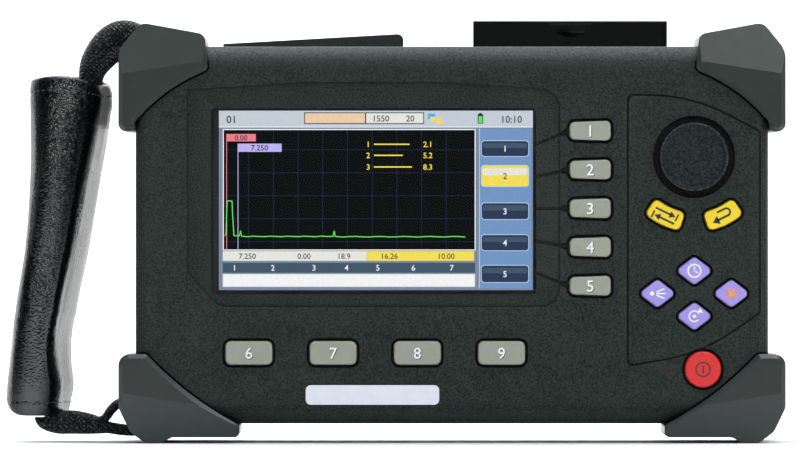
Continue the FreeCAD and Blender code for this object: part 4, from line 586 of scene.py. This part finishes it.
def button_column(screen):
    """Column of five on-screen buttons, the second one chosen."""
    screen.box(91.6, 6.3, screen.width - 92.2, screen.height - 6.9, "column", 2)
    screen.box(91.6, 6.3, 0.35, screen.height - 6.9, "column_edge", 3)
    buttons = ((10.9, 4.9), (19.6, 6.8), (32.8, 5.2), (44.0, 5.0), (54.8, 5.4))
    for number, (v, tall) in enumerate(buttons, start=1):
        chosen = number == 2
        middle_u, middle_v = 100.8, -(v + tall / 2)
        screen.pill(middle_u, middle_v, 17.0, tall + 1.0, 1.2, screen.slots["column_edge"], 4)
        face, sheen = ("yellow", "ivory") if chosen else ("navy", "teal")
        screen.pill(middle_u, middle_v, 16.4, tall + 0.4, 1.0, screen.slots[face], 5)
        screen.pill(middle_u, middle_v + tall * 0.22, 15.6, tall * 0.36, 0.6, screen.slots[sheen], 6)
        screen.digits(f"{number}", middle_u, -middle_v, 2.2, "ink" if chosen else "white")


def lit_display():
    screen = Screen()
    screen.box(0.0, 0.0, screen.width, screen.height, "backlight", 0)
    for draw in (title_bar, plot_area, fibre_trace, readings, button_column):
        draw(screen)
    materials = [glow(f"screen_{name}", colour) for name, colour in SCREEN_COLOURS.items()]
    piece = screen.finish("display_picture", materials, "case")


# ---- key legends ----

# how far a legend stands in front of its key
LEGEND_LIFT = 0.04 * MM
# in millimetres: how deep it sinks in, how far a numeral's dark shadow is moved, and numeral heights
LEGEND_DEPTH, SHADOW = 0.08, 0.25
SOFT_KEY_NUMERAL, LOWER_KEY_NUMERAL = 4.1, 4.0


def print_ink(name, colour):
    """Printed ink, a little uneven."""
    surface = Surface(name, colour, 0.45)
    surface.tint(surface.noise(0.8 * MM, 3.0), 0.94, 1.05)
    surface.roughen(surface.noise(0.5 * MM), 0.38, 0.55)
    surface.bump(surface.noise(0.25 * MM), 0.01 * MM, 0.4)
    return surface.material


WHITE_INK = print_ink("legend_white", (0.86, 0.86, 0.82))
DARK_INK = print_ink("legend_dark", (0.03, 0.03, 0.035))
ORANGE_INK = print_ink("legend_orange", (0.90, 0.30, 0.03))


def tab_sign(face):
    """Two arrows, each against its own stop."""
    face.line([(-3.8, 0.9), (1.6, 0.9)], 0.7)
    face.polygon([(1.4, -0.3), (3.6, 0.9), (1.4, 2.1)])
    face.bar(4.1, 0.9, 0.6, 2.6)
    face.line([(3.8, -1.5), (-1.6, -1.5)], 0.7)
    face.polygon([(-1.4, -0.3), (-3.6, -1.5), (-1.4, -2.7)])
    face.bar(-4.1, -1.5, 0.6, 2.6)


def escape_sign(face):
    """Arrow that turns back."""
    face.line([(-2.4, -0.9), (1.6, -0.9)], 0.75)
    face.polygon([(-2.0, -2.5), (-2.0, 0.7), (-4.4, -0.9)])
    face.ring(1.6, 0.4, 0.95, 1.65, -90.0, 90.0)
    face.line([(1.6, 1.7), (-1.2, 1.7)], 0.7)


def clock_sign(face):
    face.ring(0.0, 0.0, 2.0, 2.5)
    face.line([(0.0, 1.4), (0.0, 0.0), (1.0, -0.6)], 0.5)


def beam_sign(face):
    """Source with three rays."""
    face.disc(-1.9, 0.0, 0.75)
    for angle in (-28.0, 0.0, 28.0):
        slope = math.radians(angle)
        face.line([(-0.6 + 0.5 * math.cos(slope), 1.4 * math.sin(slope)),
                   (-0.6 + 3.2 * math.cos(slope), 3.4 * math.sin(slope))], 0.5)


def loop_sign(face):
    """Open ring with an arrow head, round a dot."""
    face.ring(0.0, 0.0, 1.6, 2.1, 30.0, 320.0)
    face.polygon([(0.9, 1.5), (3.1, 1.1), (2.1, 2.9)])
    face.disc(0.0, 0.0, 0.6)


def star_sign(face):
    """Disc with eight rays."""
    face.disc(0.0, 0.0, 1.15)
    for step in range(8):
        angle = math.radians(45.0 * step)
        face.line([(1.6 * math.cos(angle), 1.6 * math.sin(angle)),
                   (2.4 * math.cos(angle), 2.4 * math.sin(angle))], 0.45)


def power_sign(face):
    face.ring(0.0, 0.0, 2.2, 2.75)
    face.bar(0.0, 0.0, 0.6, 2.8)


# key, turn of its sign in degrees, ink and sign
SIGNS = (
    ("key_tab", 26.0, DARK_INK, tab_sign), ("key_escape", -26.0, DARK_INK, escape_sign),
    ("key_real_time", 0.0, WHITE_INK, clock_sign), ("key_light_source", 0.0, WHITE_INK, beam_sign),
    ("key_auto", 0.0, WHITE_INK, loop_sign), ("key_test", 0.0, ORANGE_INK, star_sign),
    ("key_power", 0.0, DARK_INK, power_sign),
)


def key_face(name, turn=0.0):
    """Drawing face on the front of a key, centred on it."""
    low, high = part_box(name)
    return Flat((low[0] + high[0]) / 2, low[1] - LEGEND_LIFT, (low[2] + high[2]) / 2, turn)


def key_legends():
    """Numerals with a dark shadow on the grey keys, and a sign on each of the others."""
    for number, key in enumerate(GREY_KEYS, start=1):
        size = SOFT_KEY_NUMERAL if key in SOFT_KEYS else LOWER_KEY_NUMERAL
        face = key_face(key)
        face.number(f"{number}", SHADOW, -SHADOW, size, 1, 0)
        face.number(f"{number}", 0.0, 0.0, size, 0, 2)
        face.finish(f"{key}_legend", [WHITE_INK, DARK_INK], key, LEGEND_DEPTH)
    for key, turn, ink, sign in SIGNS:
        face = key_face(key, turn)
        sign(face)
        face.finish(f"{key}_legend", [ink], key, LEGEND_DEPTH)


# ---- hand strap: padded leather sleeve and woven webbing ----

def between(stations, where):
    """Smooth value between stations (place, value, value, ...), by cubic steps through them."""
    places = [station[0] for station in stations]
    where = min(max(where, places[0]), places[-1])
    index = max(0, min(len(places) - 2, sum(1 for place in places if place <= where) - 1))
    step = (where - places[index]) / (places[index + 1] - places[index])
    values = []
    for column in range(1, len(stations[0])):
        before = stations[max(0, index - 1)][column]
        first, second = stations[index][column], stations[index + 1][column]
        after = stations[min(len(stations) - 1, index + 2)][column]
        values.append(0.5 * (2 * first + (second - before) * step
                             + (2 * before - 5 * first + 4 * second - after) * step ** 2
                             + (3 * first - 3 * second + after - before) * step ** 3))
    return values


def rounded(value, power):
    """Place on a superellipse from a cosine or a sine: the higher the power, the squarer it is."""
    return math.copysign(abs(value) ** (2.0 / power), value)


def join_rings(form, rings, inward=False, ends=True):
    """Skin from each ring of corners to the next, with a face over each end."""
    for lower, upper in zip(rings, rings[1:]):
        for step in range(len(lower)):
            after = (step + 1) % len(lower)
            corners = (lower[step], lower[after], upper[after], upper[step])
            form.faces.new(corners[::-1] if inward else corners)
    if ends:
        form.faces.new(rings[0][::-1])
        form.faces.new(rings[-1])


GRIP_X0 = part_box("grip_pad")[0][0]
GRIP_LOW, GRIP_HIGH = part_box("grip_pad")[0][2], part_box("grip_pad")[1][2]
GRIP_HEIGHT = (GRIP_HIGH - GRIP_LOW) / MM

# height up the sleeve as a share; then its middle from the sleeve's left limit, its width and its depth
SLEEVE = [
    (0.00, 11.2, 20.6, 33.0), (0.03, 11.4, 22.2, 35.0), (0.09, 12.1, 22.9, 36.5), (0.15, 12.0, 21.3, 37.0),
    (0.22, 12.4, 20.1, 37.5), (0.30, 13.8, 20.6, 38.0), (0.50, 17.8, 22.0, 38.0), (0.72, 20.9, 24.2, 38.0),
    (0.90, 22.6, 28.2, 37.0), (0.96, 22.9, 29.2, 36.0), (1.00, 22.6, 28.0, 34.0),
]
# the section leans to one side, so that the sleeve's inner face shows from the front
SLEEVE_TURN = math.tan(math.radians(9.8))
# squareness of the section on the side away from the case and on the side towards it
OUTER_POWER, INNER_POWER = 2.5, 5.0
# corners of a ring, rows in the full height and the rows that lie between the hems
SLEEVE_AROUND, SLEEVE_ROWS, PLAIN_ROWS = 120, 90, range(6, 85)
# soft swellings: how fast they change round and up the sleeve, and how far they stand out in millimetres
CREASE_ROUND, CREASE_UP, CREASE_SWELL = 1.7, 1.6, 0.45
FOLD_ROUND, FOLD_UP, FOLD_SWELL = 3.5, 5.0, 0.2
# the ends' shape in millimetres, and the shares of the height that it fades over
TOP_CROWN, TOP_FALL, FOOT_RISE, FOOT_DROP = 1.6, 1.5, 3.6, 0.4
TOP_SHAPED, FOOT_SHAPED = 0.15, 0.12
# the rolled hem: height up from the sleeve's end, as a share, and depth under the skin in millimetres
HEM = 0.018
HEM_ROWS = [(HEM * 2.2, 4.2), (HEM * 0.6, 3.0), (-HEM * 0.05, 1.5), (HEM * 0.02, 0.3), (HEM * 0.3, 0.0),
            (HEM * 1.3, -0.1), (HEM * 2.0, 0.0), (HEM * 2.4, 0.22), (HEM * 2.8, 0.02)]
# hands rub a band of the leather bright: where the band's middle is at the foot, how it leans, and
# how far from that middle it starts, is full, fades and ends
RUBBED_FOOT = 9.0 * MM
RUBBED_LEAN = 12.3 / GRIP_HEIGHT
RUBBED_FROM, RUBBED_FULL, RUBBED_FADES, RUBBED_TO = -6.5 * MM, -2.0 * MM, 1.5 * MM, 6.5 * MM

# a stitch, as shares: place along it, rise and radius
STITCH = ((0.0, 0.0, 0.45), (0.25, 0.6, 0.95), (0.5, 0.6, 1.0), (0.75, 0.6, 0.95), (1.0, 0.0, 0.45))
STITCH_SIDES = 6
HEM_LINES = (0.038, 0.962)
# millimetres that the thread's ends lie under the skin
HEM_SUNK, SEAM_SUNK = 0.2, 0.05
HEM_STITCHES, HEM_STITCH_SHARE, HEM_THREAD = 34, 0.62, 0.2 * MM
SEAM_STITCHES, SEAM_STITCH_SHARE, SEAM_THREAD = 36, 0.55, 0.26 * MM
SEAM_ANGLE = math.radians(68.0)
SEAM_START, SEAM_LENGTH = 0.06, 0.88

# webbing: rings between two stations, corners of a ring and squareness of the section
BAND_STEPS, BAND_AROUND, BAND_POWER = 26, 48, 2.6
# how far a rib slants, in ribs from the band's middle to its side, and its share on the flat sides
RIB_LAG, RIB_FLAT = 1.6, 0.3


def leather(name):
    """Glossy pebbled leather: small rounded grains with pores between them, and soft folds."""
    surface = Surface(name, (0.004, 0.004, 0.0045), 0.16, Specular_IOR_Level=0.6)
    pebbles = surface.cells(0.85 * MM, "SMOOTH_F1", smooth=0.3)
    grain = surface.ramp(pebbles, 0.08, 0.68, 1.0, 0.0)
    surface.tint(grain, 0.4, 1.6)
    surface.roughen(surface.noise(2.5 * MM, 3.0), 0.12, 0.2)
    surface.bump(grain, 0.075 * MM)
    surface.bump(surface.noise(8 * MM, 2.0), 0.15 * MM, 0.3)
    x, _, z = surface.axes()
    across = surface.maths("SUBTRACT", x, surface.maths("MULTIPLY", z, RUBBED_LEAN))
    middle = GRIP_X0 + RUBBED_FOOT - RUBBED_LEAN * GRIP_LOW
    rubbed = surface.maths("MULTIPLY", surface.ramp(across, middle + RUBBED_FROM, middle + RUBBED_FULL),
                           surface.ramp(across, middle + RUBBED_FADES, middle + RUBBED_TO, 1.0, 0.0))
    surface.feed(surface.ramp(rubbed, 0.0, 1.0, 0.12, 1.0), "Specular IOR Level")
    return surface.material


def webbing_cloth(name):
    """Black herringbone webbing: two sets of slanted ribs that cross, with painted glints in grey on the
    high threads.
    """
    surface = Surface(name, (0.009, 0.009, 0.0095), 0.7, Specular_IOR_Level=0.25, Sheen_Weight=0.05)
    heights = []
    for slant in (50.0, -50.0):
        turned = surface.node("ShaderNodeMapping")
        turned.inputs["Rotation"].default_value = (0.0, math.radians(slant), 0.0)
        surface.link(surface.place, turned.inputs["Vector"])
        wave = surface.node("ShaderNodeTexWave", bands_direction="X")
        wave.inputs["Scale"].default_value = 1.0 / (3.6 * MM)
        wave.inputs["Distortion"].default_value = 1.2
        wave.inputs["Detail Scale"].default_value = 2.0
        surface.link(turned.outputs["Vector"], wave.inputs["Vector"])
        heights.append(wave.outputs["Fac"])
    weave = surface.maths("MULTIPLY", *heights)
    # painted glints: lighter grey spots on the raised threads stand in for highlights, and the rest is
    # darkened
    glint_spots = surface.ramp(surface.noise(0.75 * MM, 2.0), 0.5, 0.66)
    thread_glints = surface.maths("MULTIPLY", surface.ramp(weave, 0.05, 0.5, 0.25, 1.0), glint_spots)
    surface.tint(thread_glints, 0.2, 28.0)
    surface.bump(weave, 0.4 * MM, 0.9)
    surface.bump(surface.noise(0.3 * MM, 3.0), 0.1 * MM, 0.5)
    return surface.material


def sleeve_point(share, angle, inset=0.0):
    """Point of the sleeve's skin, in metres, for a share of its height and an angle about its axis."""
    middle, width, depth = between(SLEEVE, min(max(share, 0.0), 1.0))
    cos_angle, sin_angle = math.cos(angle), math.sin(angle)
    power = OUTER_POWER + (INNER_POWER - OUTER_POWER) * min(1.0, max(0.0, cos_angle) * 4)
    side, front = rounded(cos_angle, power), rounded(sin_angle, power)
    # the half width that keeps the leaning section as wide as it should be
    dual = power / (power - 1.0)
    half = ((width / 2) ** dual - (SLEEVE_TURN * depth / 2) ** dual) ** (1.0 / dual)
    crease = noise.noise(Vector((side * CREASE_ROUND, front * CREASE_ROUND, share * CREASE_UP)))
    fold = noise.noise(Vector((side * FOLD_ROUND + 7.0, front * FOLD_ROUND, share * FOLD_UP)))
    swell = CREASE_SWELL * crease + FOLD_SWELL * fold - inset
    y = front * (depth / 2 + swell * 1.3)
    x = middle + side * (half + swell) + SLEEVE_TURN * y
    # the top end is crowned and falls towards the case, and the bottom end rises away from it
    top = TOP_CROWN * (1.0 - side * side) - TOP_FALL * max(0.0, side) ** 2
    low = FOOT_RISE * max(0.0, -side) ** 3 - FOOT_DROP
    near_top = max(0.0, share - (1.0 - TOP_SHAPED)) / TOP_SHAPED
    near_foot = max(0.0, FOOT_SHAPED - share) / FOOT_SHAPED
    z = share * GRIP_HEIGHT + top * near_top + low * near_foot
    return Vector((GRIP_X0 + x * MM, y * MM, GRIP_LOW + z * MM))


def leather_sleeve():
    """Closed tube of padded leather with rolled hems."""
    form = bmesh.new()
    rows = HEM_ROWS + [(row / SLEEVE_ROWS, 0.0) for row in PLAIN_ROWS]
    rows += [(1 - share, inset) for share, inset in reversed(HEM_ROWS)]
    rings = []
    for share, inset in rows:
        overrun = Vector((0.0, 0.0, (max(share - 1.0, 0.0) + min(share, 0.0)) * GRIP_HEIGHT * MM))
        angles = [2 * math.pi * step / SLEEVE_AROUND for step in range(SLEEVE_AROUND)]
        rings.append([form.verts.new(sleeve_point(share, angle, inset) + overrun) for angle in angles])
    join_rings(form, rings)
    sleeve = piece_from(form, "grip_sleeve", [leather("grip_leather")], "case", smooth=True)
    soft = sleeve.modifiers.new("soft", "SUBSURF")
    soft.levels = soft.render_levels = 1
    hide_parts("grip_pad")


def thread(form, start, end, out, radius):
    """One short stitch: a tapered capsule that arches off the leather."""
    across = (end - start).normalized().cross(out).normalized()
    turns = [2 * math.pi * step / STITCH_SIDES for step in range(STITCH_SIDES)]
    rings = []
    for place, rise, size in STITCH:
        middle = start.lerp(end, place) + out * radius * rise
        spokes = [across * math.cos(turn) + out * math.sin(turn) for turn in turns]
        rings.append([form.verts.new(middle + spoke * radius * size) for spoke in spokes])
    join_rings(form, rings)


def sleeve_outward(share, angle):
    """Direction that faces straight out of the sleeve's skin."""
    around = sleeve_point(share, angle + 0.02) - sleeve_point(share, angle - 0.02)
    return Vector((around.y, -around.x, 0.0)).normalized()


def sleeve_stitching():
    """Rows of stitches round both hems, and one seam down the back on the side that faces the case."""
    cotton = Surface("stitch_thread", (0.05, 0.05, 0.052), 0.6)
    cotton.tint(cotton.noise(0.4 * MM), 0.7, 1.5)
    cotton.bump(cotton.noise(0.2 * MM), 0.03 * MM, 0.6)
    form = bmesh.new()
    for share in HEM_LINES:
        for step in range(HEM_STITCHES):
            first = 2 * math.pi * step / HEM_STITCHES
            second = 2 * math.pi * (step + HEM_STITCH_SHARE) / HEM_STITCHES
            start, end = sleeve_point(share, first, HEM_SUNK), sleeve_point(share, second, HEM_SUNK)
            thread(form, start, end, sleeve_outward(share, (first + second) / 2), HEM_THREAD)
    for step in range(SEAM_STITCHES):
        share = SEAM_START + SEAM_LENGTH * step / SEAM_STITCHES
        start = sleeve_point(share, SEAM_ANGLE, SEAM_SUNK)
        end = sleeve_point(share + SEAM_STITCH_SHARE * SEAM_LENGTH / SEAM_STITCHES, SEAM_ANGLE, SEAM_SUNK)
        thread(form, start, end, sleeve_outward(share, SEAM_ANGLE), SEAM_THREAD)
    stitches = piece_from(form, "grip_stitching", [cotton.material], "case", smooth=True)


def swept_band(form, stations, ribs, pitch=1.15):
    """Webbing along stations (x, z, thickness, width) in millimetres, with raised slanted ribs."""
    marks = [(index, *station) for index, station in enumerate(stations)]
    count = (len(stations) - 1) * BAND_STEPS
    path = [between(marks, (len(stations) - 1) * step / count) for step in range(count + 1)]
    rings = []
    travelled = 0.0
    for index, (x, z, thick, wide) in enumerate(path):
        before, after = path[max(0, index - 1)], path[min(count, index + 1)]
        along = Vector((after[0] - before[0], 0.0, after[1] - before[1])).normalized()
        across = Vector((-along.z, 0.0, along.x))
        if index:
            travelled += math.dist(path[index - 1][:2], (x, z))
        ring = []
        for step in range(BAND_AROUND):
            angle = 2 * math.pi * step / BAND_AROUND
            facing = abs(math.sin(angle))
            side, front = rounded(math.cos(angle), BAND_POWER), rounded(math.sin(angle), BAND_POWER)
            rib = ribs * math.sin(2 * math.pi * (travelled / pitch + side * RIB_LAG))
            rise = side * (thick / 2) + rib * facing * RIB_FLAT * side
            depth = front * (wide / 2 + rib * facing)
            point = Vector((x, 0.0, z)) + across * rise + Vector((0.0, depth, 0.0))
            ring.append(form.verts.new(point * MM))
        rings.append(ring)
    join_rings(form, rings)


def strap_webbing():
    """Upper loop of two bands that lie on each other, and the folded lower loop."""
    cloth = webbing_cloth("strap_webbing")
    left = GRIP_X0 / MM
    bar_low, bar_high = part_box("strap_bar_top")
    bar_x, bar_z = (bar_low[0] + bar_high[0]) / 2 / MM, (bar_low[2] + bar_high[2]) / 2 / MM
    grip_top = GRIP_HIGH / MM
    root = left + 30.1

    upper = bmesh.new()
    swept_band(upper, [(root - 0.6, grip_top - 6.0, 6.8, 11.0), (root - 0.7, grip_top + 1.6, 7.6, 12.0),
                       (root + 0.8, grip_top + 7.4, 8.6, 12.6), (root + 5.2, bar_z + 2.8, 9.2, 13.0),
                       (bar_x - 6.4, bar_z + 6.0, 9.0, 13.0), (bar_x - 0.4, bar_z + 5.8, 6.4, 13.0),
                       (bar_x + 4.2, bar_z + 1.6, 3.0, 13.0)], ribs=0.45)
    swept_band(upper, [(root + 2.0, grip_top - 6.0, 3.2, 14.0), (root + 2.6, grip_top + 1.4, 3.6, 14.4),
                       (root + 5.2, grip_top + 6.0, 4.8, 14.4), (bar_x - 8.0, bar_z - 1.4, 6.0, 14.0),
                       (bar_x - 3.0, bar_z - 3.2, 4.0, 13.0), (bar_x + 2.4, bar_z - 2.6, 2.0, 13.0)],
               ribs=0.5, pitch=1.7)
    top = piece_from(upper, "strap_loop_upper", [cloth], "case", smooth=True)
    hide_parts("strap_webbing_top")

    bar_low, bar_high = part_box("strap_bar_bottom")
    low_z = (bar_low[2] + bar_high[2]) / 2 / MM
    lower = bmesh.new()
    swept_band(lower, [(bar_x - 37.0, low_z + 0.9, 0.9, 13.0), (bar_x - 34.2, low_z - 0.7, 4.6, 16.0),
                       (bar_x - 29.5, low_z - 0.9, 7.6, 17.5), (bar_x - 24.0, low_z - 0.6, 8.4, 18.0),
                       (bar_x - 18.0, low_z - 1.2, 7.4, 18.0), (bar_x - 13.6, low_z - 2.0, 5.6, 17.6),
                       (bar_x - 10.6, low_z - 2.6, 4.2, 17.0), (bar_x - 5.4, low_z - 3.4, 4.0, 16.6),
                       (bar_x - 1.0, low_z - 3.8, 3.0, 16.0), (bar_x + 3.0, low_z - 2.2, 1.8, 15.0)],
               ribs=0.45, pitch=1.7)
    swept_band(lower, [(bar_x - 17.0, low_z - 0.2, 2.4, 17.4), (bar_x - 12.6, low_z + 0.6, 3.0, 17.2),
                       (bar_x - 10.2, low_z + 3.6, 3.4, 17.0), (bar_x - 7.4, low_z + 6.0, 3.4, 16.6),
                       (bar_x - 3.6, low_z + 6.2, 3.0, 16.0), (bar_x + 0.6, low_z + 4.0, 2.0, 15.0)],
               ribs=0.35, pitch=1.5)
    bottom = piece_from(lower, "strap_loop_lower", [cloth], "case", smooth=True)
    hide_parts("strap_webbing_bottom")


lit_display()
key_legends()
leather_sleeve()
sleeve_stitching()
strap_webbing()


# ---- floor, backdrop, lights and camera ----

FRONT_LOW, FRONT_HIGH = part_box("front_casing")
FACE_Y = FRONT_LOW[1]
CASE_X = (FRONT_LOW[0] + FRONT_HIGH[0]) / 2

# the round backdrop: where its middle is in depth, its radius, the radius of its cove and its height
SWEEP_Y, SWEEP_REACH, SWEEP_COVE, SWEEP_WALL = -1.2, 2.8, 0.5, 4.0
SWEEP_STEPS, COVE_STEPS = 96, 12

# the camera: how far away and how far to the left of the case's middle, its height and how wide it sees
CAMERA_DISTANCE, CAMERA_LEFT, CAMERA_HEIGHT, VIEW_WIDTH = 4.0, 0.0183, 0.0726, 0.2816

SUBJECT = (CASE_X, 0.0, 0.07)
GREENISH, BLUISH, BLUE, NEUTRAL = (0.94, 1.0, 0.96), (0.90, 0.94, 1.0), (0.72, 0.84, 1.0), (1.0, 1.0, 1.0)
# name, place, target, width and height, power, colour
LIGHTS = (
    ("left_softbox", (-1.1, 0.85, 0.5), SUBJECT, (0.5, 1.0), 4.5, NEUTRAL),
    ("front_strip", (-0.36, -1.45, 0.5), SUBJECT, (0.14, 0.3), 1.4, GREENISH),
    ("front_softbox", (0.4, -1.3, 0.62), SUBJECT, (0.6, 0.32), 2.8, GREENISH),
    ("right_softbox", (1.3, -1.1, 0.4), SUBJECT, (0.45, 0.9), 3.4, BLUISH),
    ("top_softbox", (0.05, 0.04, 1.1), SUBJECT, (1.6, 0.5), 11.5, NEUTRAL),
    ("floor_light", (0.0, -0.35, 0.7), (0.0, -0.3, 0.0), (1.4, 0.4), 3.8, BLUE),
    ("backdrop_light", (0.0, 0.5, 1.3), (0.0, 1.6, 0.35), (3.0, 0.8), 45.0, NEUTRAL),
)


def studio_paper():
    """Pale paper, seen only from its front, and darker where the wall stands before the part."""
    paper = Surface("studio_paper", (0.86, 0.86, 0.86), 0.9)
    _, y, z = paper.axes()
    ahead = paper.ramp(y, SWEEP_Y + 0.6, SWEEP_Y - 0.6)
    shade = paper.maths("MULTIPLY", ahead, paper.ramp(z, 0.02, 0.4))
    paper.tint(paper.maths("ADD", shade, paper.ramp(paper.noise(0.4), 0.0, 1.0, 0.0, 0.03)), 1.0, 0.14)
    behind = paper.node("ShaderNodeNewGeometry").outputs["Backfacing"]
    paper.mix_shaders(behind, paper.shader.outputs[0], paper.node("ShaderNodeBsdfTransparent").outputs[0])
    return paper.material


def studio_sweep():
    """Round floor that curves up into a wall on every side."""
    mesh = bpy.data.meshes.new("studio_sweep")
    form = bmesh.new()
    bends = [math.radians(90.0 * step / COVE_STEPS) for step in range(COVE_STEPS + 1)]
    profile = [(SWEEP_REACH - SWEEP_COVE + SWEEP_COVE * math.sin(bend),
                SWEEP_COVE - SWEEP_COVE * math.cos(bend)) for bend in bends]
    turns = [2 * math.pi * step / SWEEP_STEPS for step in range(SWEEP_STEPS)]
    rings = [[form.verts.new((radius * math.cos(turn), SWEEP_Y + radius * math.sin(turn), height))
              for turn in turns] for radius, height in profile + [(SWEEP_REACH, SWEEP_WALL)]]
    form.faces.new(rings[0])
    join_rings(form, rings, inward=True, ends=False)
    form.to_mesh(mesh)
    form.free()
    for face in mesh.polygons:
        face.use_smooth = len(face.vertices) == 4
    mesh.materials.append(studio_paper())
    sweep = bpy.data.objects.new("studio_sweep", mesh)
    bpy.context.collection.objects.link(sweep)


def area_light(name, place, target, size, power, colour):
    """Softbox that faces its target."""
    data = bpy.data.lights.new(name, "AREA")
    data.shape = "RECTANGLE"
    data.size, data.size_y = size
    data.energy = power
    data.color = colour
    lamp = bpy.data.objects.new(name, data)
    lamp.location = place
    lamp.rotation_euler = (Vector(target) - Vector(place)).to_track_quat("-Z", "Y").to_euler()
    bpy.context.collection.objects.link(lamp)


def studio_light():
    world = bpy.data.worlds.new("studio")
    world.use_nodes = True
    background = world.node_tree.nodes["Background"]
    background.inputs["Color"].default_value = (1.0, 1.0, 1.0, 1.0)
    background.inputs["Strength"].default_value = 0.05
    bpy.context.scene.world = world
    for light in LIGHTS:
        area_light(*light)


def studio_camera():
    """Square-on view from far away, through a long lens."""
    data = bpy.data.cameras.new("camera")
    data.sensor_width = 36.0
    data.lens = data.sensor_width * CAMERA_DISTANCE / VIEW_WIDTH
    data.clip_end = 50.0
    camera = bpy.data.objects.new("camera", data)
    camera.location = (CASE_X - CAMERA_LEFT, FACE_Y - CAMERA_DISTANCE, CAMERA_HEIGHT)
    camera.rotation_euler = (math.radians(90.0), 0.0, 0.0)
    bpy.context.collection.objects.link(camera)
    bpy.context.scene.camera = camera


studio_sweep()
studio_light()
studio_camera()
bpy.context.scene.view_settings.view_transform = "Standard"
